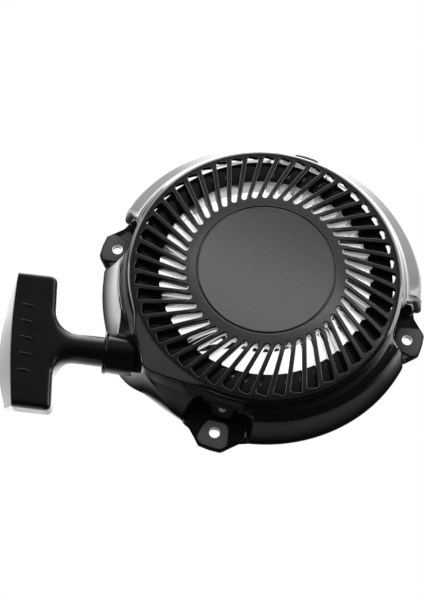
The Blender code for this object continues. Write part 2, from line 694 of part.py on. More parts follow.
# Return springs: a small torsion coil round each pivot pin, legs out.
for k in range(2):
    p, d, nn, q = pawl_frames[k]
    pts = []
    a_leg = math.atan2(d.y, d.x)
    nseg = 26
    for i in range(nseg + 1):
        a = a_leg + math.pi / 2 + 2 * math.pi * 1.6 * i / nseg
        pts.append((p.x + 3.7 * math.cos(a), p.y + 3.7 * math.sin(a), 14.15 + 0.85 * i / nseg))
    first = Vector(pts[0])
    pts = [tuple(first + Vector((d.x, d.y, 0.0)) * 7.0)] + pts
    tube_curve("pawl_spring_%d" % (k + 1), pts, 0.24, M_SPRING, resolution=1)

# ---------------------------------------------------------------- guide plate
GUIDE_Z = (8.1, 9.4)
plate_pts = [pol(16.5, a * 10.0)[:2] for a in range(36)]


def wing(angle, w_in, w_out, r_out):
    pts = []
    for i in range(7):
        pts.append(pol(r_out, angle - w_out + 2 * w_out * i / 6)[:2])
    pts.append(pol(14.0, angle + w_in)[:2])
    pts.append(pol(14.0, angle - w_in)[:2])
    return pts


guide_plate = prism("guide_plate", plate_pts, GUIDE_Z[0], GUIDE_Z[1], M_STEEL)
GUIDE_TURN = 25.0
for k in range(2):
    p, d, nn, q = pawl_frames[k]
    q_ang = math.degrees(math.atan2(q.y, q.x))
    wg = prism("wing_%d" % k, wing(q_ang - 10.0, 44.0, 24.0, 35.0), GUIDE_Z[0], GUIDE_Z[1], M_STEEL)
    boolean(guide_plate, wg, 'UNION', keep_cutter=False)
PAWL_RATIO = 0.8             # pawl swing per degree of plate turn
SLOT_HALF = 1.95             # half the cam slot's width, around a peg of radius 1.5


def cam_slot(k):
    """Outline of the slot a peg needs while the plate turns and the pawl swings."""
    p, d, nn, q = pawl_frames[k]
    path = []
    steps = 6
    for i in range(steps + 1):
        turn = GUIDE_TURN * i / steps
        swing = math.radians(PAWL_RATIO * turn)
        dd = Vector((d.x * math.cos(swing) - d.y * math.sin(swing), d.x * math.sin(swing) + d.y * math.cos(swing)))
        c = p + dd * PEG_AT
        t = math.radians(-turn)
        path.append(Vector((c.x * math.cos(t) - c.y * math.sin(t), c.x * math.sin(t) + c.y * math.cos(t))))
    left, right = [], []
    for i, c in enumerate(path):
        t = (path[min(i + 1, steps)] - path[max(i - 1, 0)]).normalized()
        n = Vector((-t.y, t.x))
        left.append(c + n * SLOT_HALF)
        right.append(c - n * SLOT_HALF)
    def cap(c, start):
        out = []
        for i in range(1, 6):
            a = start - math.pi * i / 6
            out.append(c + Vector((math.cos(a), math.sin(a))) * SLOT_HALF)
        return out
    t1 = (path[-1] - path[-2]).normalized()
    t0 = (path[1] - path[0]).normalized()
    pts = left + cap(path[-1], math.atan2(t1.x, -t1.y)) + right[::-1] + cap(path[0], math.atan2(-t0.x, t0.y))
    return [(v.x, v.y) for v in pts]


for k in range(2):
    cut = prism("cam_slot_cutter_%d" % k, cam_slot(k), 5.0, 12.0, cutter=True)
    boolean(guide_plate, cut, 'DIFFERENCE')
centre_cut = cylinder("plate_bore_cutter", 3.5, (0, 0, 5.0), (0, 0, 12.0), 20, cutter=True)
boolean(guide_plate, centre_cut, 'DIFFERENCE')
guide_plate.data.materials.clear()
guide_plate.data.materials.append(M_STEEL)
smooth(guide_plate)

# Friction spring: open coil between the guide plate and the pulley hub.
fr = []
nfr = 44
for i in range(nfr + 1):
    a = 2 * math.pi * 3.3 * i / nfr
    zc = interp(i / nfr, [(0.0, 10.25), (0.25, 10.4), (0.75, 16.2), (1.0, 16.4)])
    fr.append((10.8 * math.cos(a), 10.8 * math.sin(a), zc))
friction_spring = tube_curve("friction_spring", fr, 0.45, M_SPRING, resolution=1)

# ---------------------------------------------------------------- screw stack
screw_washer = turned("screw_washer", [(8.6, 7.75), (8.6, 7.05), (3.2, 7.05), (3.2, 7.75)], 28, M_STEEL)
smooth(screw_washer)
center_screw = turned("center_screw", [(0.0, 27.0), (2.3, 27.0), (2.8, 26.4), (2.8, 6.75), (7.4, 6.75), (7.4, 5.9),
                                       (5.9, 5.5), (5.9, 0.6), (5.2, 0.0), (0.0, 0.0)], 24, M_STEEL, closed=False)
hex_ring = [(5.0 / math.cos(math.radians(30.0)) * math.cos(math.radians(60.0 * i)),
             5.0 / math.cos(math.radians(30.0)) * math.sin(math.radians(60.0 * i))) for i in range(6)]
hex_outer = prism("hex_block", [pol(9.0, 15.0 * i)[:2] for i in range(24)], -1.0, 5.7, cutter=True)
hex_inner = prism("hex_core", hex_ring, -2.0, 7.0, cutter=True)
boolean(hex_outer, hex_inner, 'DIFFERENCE', keep_cutter=False)
boolean(center_screw, hex_outer, 'DIFFERENCE')
center_screw.data.materials.clear()
center_screw.data.materials.append(M_STEEL)
smooth(center_screw)


# ---------------------------------------------------------------- handle
def sheared(x, y):
    return x - GRIP_SHEAR * (y - GRIP_Y)


def grip_ring(y, x0, x1, z0, z1, rnd, seg=4):
    """Rounded rectangle ring in the X-Z plane at y."""
    pts = []
    corners = ((x1 - rnd, z1 - rnd, 0), (x0 + rnd, z1 - rnd, 90), (x0 + rnd, z0 + rnd, 180), (x1 - rnd, z0 + rnd, 270))
    for cx, cz, a0 in corners:
        for i in range(seg):
            a = math.radians(a0 + 90.0 * i / (seg - 1))
            pts.append((cx + rnd * math.cos(a), y, cz + rnd * math.sin(a)))
    return pts


def loft(name, rings, mat):
    verts, faces = [], []
    n = len(rings[0])
    for ring in rings:
        verts += ring
    for k in range(len(rings) - 1):
        a, b = k * n, (k + 1) * n
        for i in range(n):
            j = (i + 1) % n
            faces.append((a + i, a + j, b + j, b + i))
    faces.append(tuple(range(n)))
    faces.append(tuple((len(rings) - 1) * n + i for i in reversed(range(n))))
    return mesh_object(name, verts, faces, mat, recalc=True)


half = GRIP_LEN / 2
cz = (GRIP_Z[0] + GRIP_Z[1]) / 2
rings = []
for f, inset, zin in ((-1.0, 3.2, 3.4), (-0.975, 0.9, 1.2), (-0.94, 0.0, 0.0), (0.0, 0.0, 0.0),
                      (0.94, 0.0, 0.0), (0.975, 0.9, 1.2), (1.0, 3.2, 3.4)):
    y = GRIP_Y + half * f
    x0 = GRIP_X[0]
    x1 = GRIP_X[1] - inset
    ring = grip_ring(y, x0, x1, GRIP_Z[0] + zin, GRIP_Z[1] - zin, 4.2)
    rings.append([(sheared(px, y), y, pz) for px, _, pz in ring])
handle_body = loft("handle_body", rings, M_GRIP)

# Stem with flared root, as a turned piece about the rope's axis.
stem_prof = [(0.0, 0.0), (8.6, 0.0), (STEM_R, 1.6), (STEM_R - 0.2, 24.0), (STEM_R + 0.6, 29.0), (STEM_R + 0.9, 33.5),
             (STEM_R + 0.9, 46.0), (0.0, 46.0)]
stem = turned("stem", [(r, -h) for r, h in stem_prof], 28, M_GRIP, closed=False)
stem.data.transform(Matrix.Rotation(math.radians(90.0), 4, 'Y'))
stem.data.transform(Matrix.Translation(Vector((-91.6, OUTLET_Y, OUTLET_Z)) * MM))
boolean(handle_body, stem, 'UNION', keep_cutter=False)
# Side fillets between grip and stem.
for sgn in (-1.0, 1.0):
    pts = []
    for i in range(6):
        a = math.radians(90.0 * i / 5)
        # concave quarter from the stem out to the grip
        pts.append((-117.5 - 12.0 * math.sin(a), GRIP_Y + sgn * (STEM_R - 1.0 + 12.0 * (1 - math.cos(a)))))
    pts.append((-136.0, GRIP_Y + sgn * (STEM_R + 11.0)))
    pts.append((-136.0, GRIP_Y + sgn * 4.0))
    pts.append((-117.5, GRIP_Y + sgn * 4.0))
    gus = prism("gusset_%d" % (1 + sgn), [(sheared(x, y) if x < -125.0 else x, y) for x, y in pts], 17.0, 29.0, M_GRIP)
    boolean(handle_body, gus, 'UNION', keep_cutter=False)
rope_bore = cylinder("handle_bore_cutter", 2.6, (-80.0, OUTLET_Y, OUTLET_Z), (-140.0, OUTLET_Y, OUTLET_Z), 16,
                     cutter=True)
boolean(handle_body, rope_bore, 'DIFFERENCE')
# Knot cavity, open to the outer side and closed by the cap.
cav = [(-134.6, -9.0), (-134.6, 9.0), (-160.0, 9.0), (-160.0, -9.0)]
cavity = prism("knot_cavity_cutter", [(x, GRIP_Y + y) for x, y in cav], 15.4, 30.6, cutter=True)
boolean(handle_body, cavity, 'DIFFERENCE')
handle_body.data.materials.clear()
handle_body.data.materials.append(M_GRIP)
smooth(handle_body, 30.0)

# Snap-in cap: the bowed outer strip of the grip.
cap_rings = []
ncap = 10
for i in range(ncap + 1):
    f = -1.0 + 2.0 * i / ncap
    y = GRIP_Y + (half - 0.5) * f
    bow = 6.6 * (1.0 - abs(f) ** 2.4) + 0.9
    z_in = 1.2 + 1.6 * abs(f) ** 8
    x1 = GRIP_X[0] - 0.3
    x0 = x1 - bow
    rr = min(0.42 * bow, 2.8)
    ring = grip_ring(y, x0, x1, GRIP_Z[0] + z_in, GRIP_Z[1] - z_in, rr, 4)
    cap_rings.append([(sheared(px, y), y, pz) for px, _, pz in ring])
handle_cap = loft("handle_cap", cap_rings, M_GRIP)
tongue = prism("cap_tongue", [(sheared(-159.0, GRIP_Y - 8.4), GRIP_Y - 8.4), (-150.5, GRIP_Y - 8.4),
                              (-150.5, GRIP_Y + 8.4), (sheared(-159.0, GRIP_Y + 8.4), GRIP_Y + 8.4)],
               16.0, 30.0, M_GRIP)
boolean(handle_cap, tongue, 'UNION', keep_cutter=False)
smooth(handle_cap, 40.0)

# Rope anchor: a slotted retainer disc the knot pulls against.
rope_anchor = turned("rope_anchor", [(7.0, 0.0), (7.0, 1.4), (2.5, 1.4), (2.5, 0.0)][::-1], 24, M_STEEL)
rope_anchor.data.transform(Matrix.Rotation(math.radians(90.0), 4, 'Y'))
rope_anchor.data.transform(Matrix.Translation(Vector((-135.0 - 1.4, OUTLET_Y, OUTLET_Z)) * MM))
smooth(rope_anchor)
handle_knot = lumpy_knot("handle_knot", (KNOT_X - 0.9, OUTLET_Y, OUTLET_Z), (1, 0, 0), 9.0, 4.4, M_ROPE)
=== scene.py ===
import bpy
import bmesh
import math
import numpy as np
from mathutils import Vector, Matrix


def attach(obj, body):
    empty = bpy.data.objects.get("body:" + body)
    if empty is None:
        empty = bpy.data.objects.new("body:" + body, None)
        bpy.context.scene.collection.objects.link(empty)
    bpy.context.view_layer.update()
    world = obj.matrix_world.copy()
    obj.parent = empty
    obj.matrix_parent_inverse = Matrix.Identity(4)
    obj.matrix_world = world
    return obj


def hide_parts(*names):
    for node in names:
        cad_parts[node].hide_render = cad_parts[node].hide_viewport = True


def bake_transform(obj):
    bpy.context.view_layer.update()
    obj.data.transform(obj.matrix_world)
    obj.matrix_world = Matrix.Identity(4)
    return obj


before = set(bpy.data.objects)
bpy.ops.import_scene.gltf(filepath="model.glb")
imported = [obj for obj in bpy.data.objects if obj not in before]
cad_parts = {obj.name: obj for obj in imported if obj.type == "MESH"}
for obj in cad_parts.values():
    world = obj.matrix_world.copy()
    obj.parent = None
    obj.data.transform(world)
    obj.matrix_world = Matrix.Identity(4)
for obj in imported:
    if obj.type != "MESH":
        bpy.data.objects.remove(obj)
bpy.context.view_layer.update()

MM = 0.001
SCENE = bpy.context.scene


# ------------------------------------------------------------------ helpers
def pol(r, deg, z=0.0):
    a = math.radians(deg)
    return np.array([r * math.cos(a), r * math.sin(a), z])


def interp(x, table):
    xs = [t[0] for t in table]
    ys = [t[1] for t in table]
    return float(np.interp(x, xs, ys))


def smoothstep(t):
    t = min(1.0, max(0.0, t))
    return t * t * (3.0 - 2.0 * t)


def round_poly(P, cuts, K):
    """Polyline with every inner corner replaced by a quadratic curve of K points,
    cut back along both sides by at most cuts[i].  Same point count whatever the shape."""
    P = [np.asarray(p, float) for p in P]
    out = [P[0]]
    for i in range(1, len(P) - 1):
        a, p, b = P[i - 1], P[i], P[i + 1]
        d1, d2 = a - p, b - p
        l1, l2 = np.linalg.norm(d1) + 1e-12, np.linalg.norm(d2) + 1e-12
        c1 = min(cuts[i], 0.96 * l1 * cuts[i] / (cuts[i] + cuts[i - 1] + 1e-9))
        c2 = min(cuts[i], 0.96 * l2 * cuts[i] / (cuts[i] + cuts[i + 1] + 1e-9))
        s, e = p + d1 / l1 * c1, p + d2 / l2 * c2
        k = K[i]
        for m in range(k):
            t = m / (k - 1)
            out.append((1 - t) ** 2 * s + 2 * t * (1 - t) * p + t * t * e)
    out.append(P[-1])
    return out


class Builder:
    """Collects quads and polygons in millimetres; shared points merge at the end."""

    def __init__(self):
        self.v = []
        self.f = []

    def grid(self, rows, closed_u=True, closed_v=False, flip=False):
        """rows: list of equally long point lists."""
        base = len(self.v)
        n = len(rows[0])
        for r in rows:
            self.v.extend(tuple(p) for p in r)
        m = len(rows)
        for i in range(m if closed_v else m - 1):
            i2 = (i + 1) % m
            for j in range(n if closed_u else n - 1):
                j2 = (j + 1) % n
                q = (base + i * n + j, base + i * n + j2, base + i2 * n + j2, base + i2 * n + j)
                self.f.append(q[::-1] if flip else q)

    def fan(self, ring, centre, flip=False):
        base = len(self.v)
        self.v.append(tuple(centre))
        self.v.extend(tuple(p) for p in ring)
        n = len(ring)
        for j in range(n):
            t = (base, base + 1 + j, base + 1 + (j + 1) % n)
            self.f.append(t[::-1] if flip else t)

    def ngon(self, ring, flip=False):
        base = len(self.v)
        self.v.extend(tuple(p) for p in ring)
        t = tuple(base + i for i in range(len(ring)))
        self.f.append(t[::-1] if flip else t)

    def object(self, name, mat, angle=40.0, merge=0.000004, recalc=True):
        me = bpy.data.meshes.new(name)
        me.from_pydata([(x * MM, y * MM, z * MM) for x, y, z in self.v], [], self.f)
        bm = bmesh.new()
        bm.from_mesh(me)
        bmesh.ops.remove_doubles(bm, verts=bm.verts[:], dist=merge)
        bmesh.ops.dissolve_degenerate(bm, dist=0.0000005, edges=bm.edges[:])
        if recalc:
            bmesh.ops.recalc_face_normals(bm, faces=bm.faces[:])
        bm.to_mesh(me)
        bm.free()
        ob = bpy.data.objects.new(name, me)
        SCENE.collection.objects.link(ob)
        me.materials.append(mat)
        me.shade_smooth()
        me.set_sharp_from_angle(angle=math.radians(angle))
        return ob


def turned(name, profile, mat, cut=0.35, k=3, segs=96, closed=True, axis='Z', origin=(0, 0, 0), angle=40.0):
    """Body turned about an axis, its corners softly rounded.  profile: (r, z) or (r, z, cut)."""
    pts = [np.array(p[:2], float) for p in profile]
    cuts = [p[2] if len(p) > 2 else cut for p in profile]
    if closed:
        start = (pts[-1] + pts[0]) / 2
        P = [start] + pts + [start]
        C = [0] + cuts + [0]
        prof = round_poly(P, C, [k] * len(P))[:-1]
    else:
        prof = round_poly(pts, cuts, [k] * len(pts))
    b = Builder()
    rows = []
    for p in prof:
        rows.append([pol(max(p[0], 0.0), 360.0 * j / segs, p[1]) for j in range(segs)])
    if closed:
        b.grid(rows, True, True)
    else:
        b.grid(rows[1:-1], True, False)
        b.fan(rows[1], (0, 0, prof[0][1]))
        b.fan(rows[-2], (0, 0, prof[-1][1]), flip=True)
    if axis == 'X':
        b.v = [(z + origin[0], x + origin[1], y + origin[2]) for x, y, z in b.v]
    else:
        b.v = [(x + origin[0], y + origin[1], z + origin[2]) for x, y, z in b.v]
    return b.object(name, mat, angle)


def tube(name, path, radius, mat, seg=16, strands=0, pitch=7.0, caps=True, amp=0.07):
    """Round cord along a path (mm); strands > 0 gives it a braided surface."""
    path = [np.asarray(p, float) for p in path]
    n = len(path)
    tang = []
    for i in range(n):
        t = path[min(i + 1, n - 1)] - path[max(i - 1, 0)]
        tang.append(t / (np.linalg.norm(t) + 1e-12))
    up = np.array([0.0, 0.0, 1.0]) if abs(tang[0][2]) < 0.9 else np.array([1.0, 0.0, 0.0])
    u = np.cross(tang[0], up)
    u /= np.linalg.norm(u)
    rows = []
    s = 0.0
    for i in range(n):
        if i:
            s += np.linalg.norm(path[i] - path[i - 1])
        t = tang[i]
        u = u - t * np.dot(u, t)
        u /= np.linalg.norm(u)
        w = np.cross(t, u)
        ring = []
        for j in range(seg):
            a = 2 * math.pi * j / seg
            r = radius
            if strands:
                p1 = math.cos(strands * a + 2 * math.pi * s / pitch)
                p2 = math.cos(strands * a - 2 * math.pi * s / pitch)
                r = radius * (1.0 - amp + amp * max(p1, p2))
            ring.append(path[i] + (u * math.cos(a) + w * math.sin(a)) * r)
        rows.append(ring)
    b = Builder()
    b.grid(rows, True, False)
    if caps:
        b.fan(rows[0], path[0], flip=True)
        b.fan(rows[-1], path[-1])
    return b.object(name, mat, 60.0)


def apply_modifiers(ob):
    dg = bpy.context.evaluated_depsgraph_get()
    me = bpy.data.meshes.new_from_object(ob.evaluated_get(dg))
    ob.modifiers.clear()
    ob.data = me
    return ob


def boolean(ob, cutter, op='DIFFERENCE', solver='MANIFOLD'):
    m = ob.modifiers.new("b", 'BOOLEAN')
    m.operation = op
    m.solver = solver
    m.object = cutter
    before = len(ob.data.vertices)
    apply_modifiers(ob)
    bpy.data.objects.remove(cutter, do_unlink=True)
    return ob


def cyl_cutter(items, segs=48):
    """Closed cylinders (start, end, radius) in one mesh, millimetres."""
    bm = bmesh.new()
    for a, bpt, r in items:
        a, bpt = Vector(a) * MM, Vector(bpt) * MM
        d = bpt - a
        rot = d.to_track_quat('Z', 'Y').to_matrix().to_4x4()
        bmesh.ops.create_cone(bm, cap_ends=True, segments=segs, radius1=r * MM, radius2=r * MM, depth=d.length,
                              matrix=Matrix.Translation((a + bpt) / 2) @ rot)
    me = bpy.data.meshes.new("cut")
    bm.to_mesh(me)
    bm.free()
    ob = bpy.data.objects.new("cut", me)
    SCENE.collection.objects.link(ob)
    return ob


# ---------------------------------------------------------------- materials
def new_mat(name):
    m = bpy.data.materials.new(name)
    m.use_nodes = True
    nt = m.node_tree
    bsdf = nt.nodes["Principled BSDF"]
    return m, nt, bsdf


def node(nt, kind, **kw):
    n = nt.nodes.new(kind)
    for k, v in kw.items():
        setattr(n, k, v)
    return n


def math_node(nt, op, a, b=None, clamp=False):
    n = nt.nodes.new("ShaderNodeMath")
    n.operation = op
    n.use_clamp = clamp
    for i, v in enumerate((a, b)):
        if v is None:
            continue
        if isinstance(v, (int, float)):
            n.inputs[i].default_value = v
        else:
            nt.links.new(v, n.inputs[i])
    return n.outputs[0]


def ramp_node(nt, fac, lo, hi, a, b):
    n = nt.nodes.new("ShaderNodeMapRange")
    n.interpolation_type = 'SMOOTHSTEP'
    nt.links.new(fac, n.inputs["Value"])
    n.inputs["From Min"].default_value = lo
    n.inputs["From Max"].default_value = hi
    n.inputs["To Min"].default_value = a
    n.inputs["To Max"].default_value = b
    return n.outputs["Result"]


def shell_material():
    """Glossy black moulding with a fine spark-eroded grain on its flat top faces."""
    m, nt, bsdf = new_mat("black_shell")
    tc = node(nt, "ShaderNodeTexCoord")
    sep = node(nt, "ShaderNodeSeparateXYZ")
    nt.links.new(tc.outputs["Object"], sep.inputs[0])
    x, y, z = sep.outputs
    r = math_node(nt, 'SQRT', math_node(nt, 'ADD', math_node(nt, 'MULTIPLY', x, x), math_node(nt, 'MULTIPLY', y, y)))
    geo = node(nt, "ShaderNodeNewGeometry")
    nsep = node(nt, "ShaderNodeSeparateXYZ")
    nt.links.new(geo.outputs["Normal"], nsep.inputs[0])
    up = ramp_node(nt, nsep.outputs[2], 0.93, 0.985, 0.0, 1.0)
    hub = ramp_node(nt, r, 0.0535, 0.0600, 1.0, 0.10)
    high = ramp_node(nt, z, 0.0450, 0.0464, 0.0, 1.0)
    hubmask = math_node(nt, 'MULTIPLY', hub, high)
    # flat top of the rope-outlet block and the ear pads
    block = math_node(nt, 'MULTIPLY', ramp_node(nt, r, 0.0862, 0.0885, 0.0, 1.0), ramp_node(nt, z, 0.0405, 0.0418, 0.0, 1.0))
    ear = math_node(nt, 'MULTIPLY', ramp_node(nt, r, 0.0940, 0.0955, 0.0, 1.0), ramp_node(nt, z, 0.0045, 0.0049, 0.0, 1.0))
    ear = math_node(nt, 'MULTIPLY', ear, ramp_node(nt, z, 0.0060, 0.0056, 0.0, 1.0))
    flat = math_node(nt, 'MAXIMUM', math_node(nt, 'MAXIMUM', hubmask, block), ear)
    satin = math_node(nt, 'MULTIPLY', flat, up)
    fins = math_node(nt, 'MULTIPLY', math_node(nt, 'MULTIPLY', ramp_node(nt, r, 0.0530, 0.0560, 0.0, 1.0), up),
                     ramp_node(nt, r, 0.0850, 0.0870, 1.0, 0.0))
    fins = math_node(nt, 'MULTIPLY', fins, ramp_node(nt, z, 0.0415, 0.0430, 0.0, 1.0))
    grain = node(nt, "ShaderNodeTexNoise")
    grain.inputs["Scale"].default_value = 2400.0
    grain.inputs["Detail"].default_value = 3.0
    grain.inputs["Roughness"].default_value = 0.65
    nt.links.new(tc.outputs["Object"], grain.inputs["Vector"])
    mottle = node(nt, "ShaderNodeTexNoise")
    mottle.inputs["Scale"].default_value = 55.0
    mottle.inputs["Detail"].default_value = 5.0
    nt.links.new(tc.outputs["Object"], mottle.inputs["Vector"])
    orange = node(nt, "ShaderNodeTexNoise")
    orange.inputs["Scale"].default_value = 260.0
    orange.inputs["Detail"].default_value = 2.0
    nt.links.new(tc.outputs["Object"], orange.inputs["Vector"])
    # colour
    mix = node(nt, "ShaderNodeMix", data_type='RGBA')
    mix.inputs[6].default_value = (0.0045, 0.0045, 0.0050, 1)
    mix.inputs[7].default_value = (0.026, 0.026, 0.030, 1)
    nt.links.new(satin, mix.inputs[0])
    mix2 = node(nt, "ShaderNodeMix", data_type='RGBA')
    nt.links.new(mix.outputs[2], mix2.inputs[6])
    mix2.inputs[7].default_value = (0.058, 0.058, 0.064, 1)
    fac = math_node(nt, 'MULTIPLY', satin, ramp_node(nt, grain.outputs["Fac"], 0.44, 0.68, 0.0, 1.0))
    nt.links.new(fac, mix2.inputs[0])
    # painted light: the ear pad tops get a lighter colour than the same satin finish elsewhere, standing in for the
    # light falling on them
    ear_top_painted_light = node(nt, "ShaderNodeMix", data_type='RGBA')
    nt.links.new(mix2.outputs[2], ear_top_painted_light.inputs[6])
    ear_top_painted_light.inputs[7].default_value = (0.085, 0.085, 0.093, 1)
    nt.links.new(math_node(nt, 'MULTIPLY', ear, up), ear_top_painted_light.inputs[0])
    nt.links.new(ear_top_painted_light.outputs[2], bsdf.inputs["Base Color"])
    # roughness
    base_rough = ramp_node(nt, mottle.outputs["Fac"], 0.30, 0.75, 0.085, 0.15)
    smix = node(nt, "ShaderNodeMix")
    nt.links.new(satin, smix.inputs[0])
    nt.links.new(base_rough, smix.inputs[2])
    smix.inputs[3].default_value = 0.18
    rough = smix.outputs[0]
    rough = math_node(nt, 'ADD', rough, math_node(nt, 'MULTIPLY', fins, 0.16), clamp=True)
    nt.links.new(rough, bsdf.inputs["Roughness"])
    bsdf.inputs["IOR"].default_value = 1.52
    # the rim wall has a finer, duller finish than the polished skirt
    wall = math_node(nt, 'MULTIPLY', ramp_node(nt, r, 0.0880, 0.0893, 0.0, 1.0), ramp_node(nt, r, 0.0936, 0.0950, 1.0, 0.0))
    wall = math_node(nt, 'MULTIPLY', wall, ramp_node(nt, z, 0.0285, 0.0305, 0.0, 1.0))
    wall = math_node(nt, 'MULTIPLY', wall, ramp_node(nt, z, 0.0405, 0.0425, 1.0, 0.0))
    left = math_node(nt, 'MULTIPLY', ramp_node(nt, x, -0.066, -0.076, 0.0, 1.0), ramp_node(nt, r, 0.0868, 0.0880, 0.0, 1.0))
    left = math_node(nt, 'MULTIPLY', left, ramp_node(nt, r, 0.0980, 0.1000, 1.0, 0.0))
    left = math_node(nt, 'MULTIPLY', left, ramp_node(nt, z, 0.0302, 0.0312, 0.0, 1.0))
    left = math_node(nt, 'MULTIPLY', left, ramp_node(nt, z, 0.0415, 0.0428, 1.0, 0.0))
    # slot ends and the mounting pockets carry the same finish
    ends = math_node(nt, 'MULTIPLY', ramp_node(nt, r, 0.0815, 0.0826, 0.0, 1.0), ramp_node(nt, r, 0.0870, 0.0878, 1.0, 0.0))
    ends = math_node(nt, 'MULTIPLY', ends, ramp_node(nt, z, 0.0390, 0.0396, 0.0, 1.0))
    ends = math_node(nt, 'MULTIPLY', ends, ramp_node(nt, z, 0.0426, 0.0434, 1.0, 0.0))
    ce, se = math.cos(math.radians(78.25)), math.sin(math.radians(78.25))
    pu = math_node(nt, 'ABSOLUTE', math_node(nt, 'ADD', math_node(nt, 'MULTIPLY', x, ce), math_node(nt, 'MULTIPLY', y, se)))
    pt = math_node(nt, 'ABSOLUTE', math_node(nt, 'SUBTRACT', math_node(nt, 'MULTIPLY', y, ce), math_node(nt, 'MULTIPLY', x, se)))
    pocket = ramp_node(nt, math_node(nt, 'MINIMUM', pu, pt), 0.0165, 0.0205, 1.0, 0.0)
    pocket = math_node(nt, 'MULTIPLY', pocket, ramp_node(nt, z, 0.0262, 0.0282, 1.0, 0.0))
    pocket = math_node(nt, 'MULTIPLY', pocket, ramp_node(nt, r, 0.0880, 0.0895, 0.0, 1.0))
    wall = math_node(nt, 'MAXIMUM', math_node(nt, 'MULTIPLY', wall, 0.8), math_node(nt, 'MAXIMUM', left, ends))
    wall = math_node(nt, 'MAXIMUM', wall, math_node(nt, 'MULTIPLY', pocket, 0.75))
    nt.links.new(ramp_node(nt, wall, 0.0, 1.0, 0.5, 0.06), bsdf.inputs["Specular IOR Level"])
    nt.links.new(ramp_node(nt, math_node(nt, 'MAXIMUM', left, 0.0), 0.0, 1.0, 1.52, 1.16), bsdf.inputs["IOR"])
    # bump: grain where satin, very faint orange peel elsewhere
    b1 = node(nt, "ShaderNodeBump")
    b1.inputs["Distance"].default_value = 0.00006
    nt.links.new(math_node(nt, 'MULTIPLY', satin, 0.55), b1.inputs["Strength"])
    nt.links.new(grain.outputs["Fac"], b1.inputs["Height"])
    b2 = node(nt, "ShaderNodeBump")
    b2.inputs["Distance"].default_value = 0.00005
    b2.inputs["Strength"].default_value = 0.16
    nt.links.new(orange.outputs["Fac"], b2.inputs["Height"])
    nt.links.new(b1.outputs[0], b2.inputs["Normal"])
    nt.links.new(b2.outputs[0], bsdf.inputs["Normal"])
    return m


def plastic(name, color, rough, grain=900.0, bump=0.25, dist=0.00008, spread=0.1, ior=1.48):
    """Moulded plastic with a fine leathery grain."""
    m, nt, bsdf = new_mat(name)
    tc = node(nt, "ShaderNodeTexCoord")
    n1 = node(nt, "ShaderNodeTexNoise")
    n1.inputs["Scale"].default_value = grain
    n1.inputs["Detail"].default_value = 4.0
    nt.links.new(tc.outputs["Object"], n1.inputs["Vector"])
    n2 = node(nt, "ShaderNodeTexNoise")
    n2.inputs["Scale"].default_value = 60.0
    n2.inputs["Detail"].default_value = 4.0
    nt.links.new(tc.outputs["Object"], n2.inputs["Vector"])
    mix = node(nt, "ShaderNodeMix", data_type='RGBA')
    mix.inputs[6].default_value = (color[0] * 0.8, color[1] * 0.8, color[2] * 0.8, 1)
    mix.inputs[7].default_value = (color[0] * 1.35, color[1] * 1.35, color[2] * 1.35, 1)
    nt.links.new(n1.outputs["Fac"], mix.inputs[0])
    nt.links.new(mix.outputs[2], bsdf.inputs["Base Color"])
    nt.links.new(ramp_node(nt, n2.outputs["Fac"], 0.3, 0.7, rough - spread / 2, rough + spread / 2), bsdf.inputs["Roughness"])
    bsdf.inputs["IOR"].default_value = ior
    bp = node(nt, "ShaderNodeBump")
    bp.inputs["Strength"].default_value = bump
    bp.inputs["Distance"].default_value = dist
    nt.links.new(n1.outputs["Fac"], bp.inputs["Height"])
    nt.links.new(bp.outputs[0], bsdf.inputs["Normal"])
    return m


def metal(name, color, rough, streak=0.5, dark=0.6):
    """Plated steel: fine drawn streaks, faint stains."""
    m, nt, bsdf = new_mat(name)
    tc = node(nt, "ShaderNodeTexCoord")
    mp = node(nt, "ShaderNodeMapping")
    mp.inputs["Scale"].default_value = (1.0, 1.0, 14.0)
    nt.links.new(tc.outputs["Object"], mp.inputs[0])
    n1 = node(nt, "ShaderNodeTexNoise")
    n1.inputs["Scale"].default_value = 420.0
    n1.inputs["Detail"].default_value = 6.0
    nt.links.new(mp.outputs[0], n1.inputs["Vector"])
    n2 = node(nt, "ShaderNodeTexNoise")
    n2.inputs["Scale"].default_value = 130.0
    n2.inputs["Detail"].default_value = 5.0
    nt.links.new(tc.outputs["Object"], n2.inputs["Vector"])
    mix = node(nt, "ShaderNodeMix", data_type='RGBA')
    mix.inputs[6].default_value = (color[0] * dark, color[1] * dark, color[2] * dark, 1)
    mix.inputs[7].default_value = (*color, 1)
    nt.links.new(ramp_node(nt, n2.outputs["Fac"], 0.28, 0.6, 0.0, 1.0), mix.inputs[0])
    nt.links.new(mix.outputs[2], bsdf.inputs["Base Color"])
    bsdf.inputs["Metallic"].default_value = 1.0
    nt.links.new(ramp_node(nt, n1.outputs["Fac"], 0.3, 0.7, rough * 0.75, rough * 1.4), bsdf.inputs["Roughness"])
    bp = node(nt, "ShaderNodeBump")
    bp.inputs["Strength"].default_value = 0.15
    bp.inputs["Distance"].default_value = 0.00004
    nt.links.new(n1.outputs["Fac"], bp.inputs["Height"])
    nt.links.new(bp.outputs[0], bsdf.inputs["Normal"])
    return m


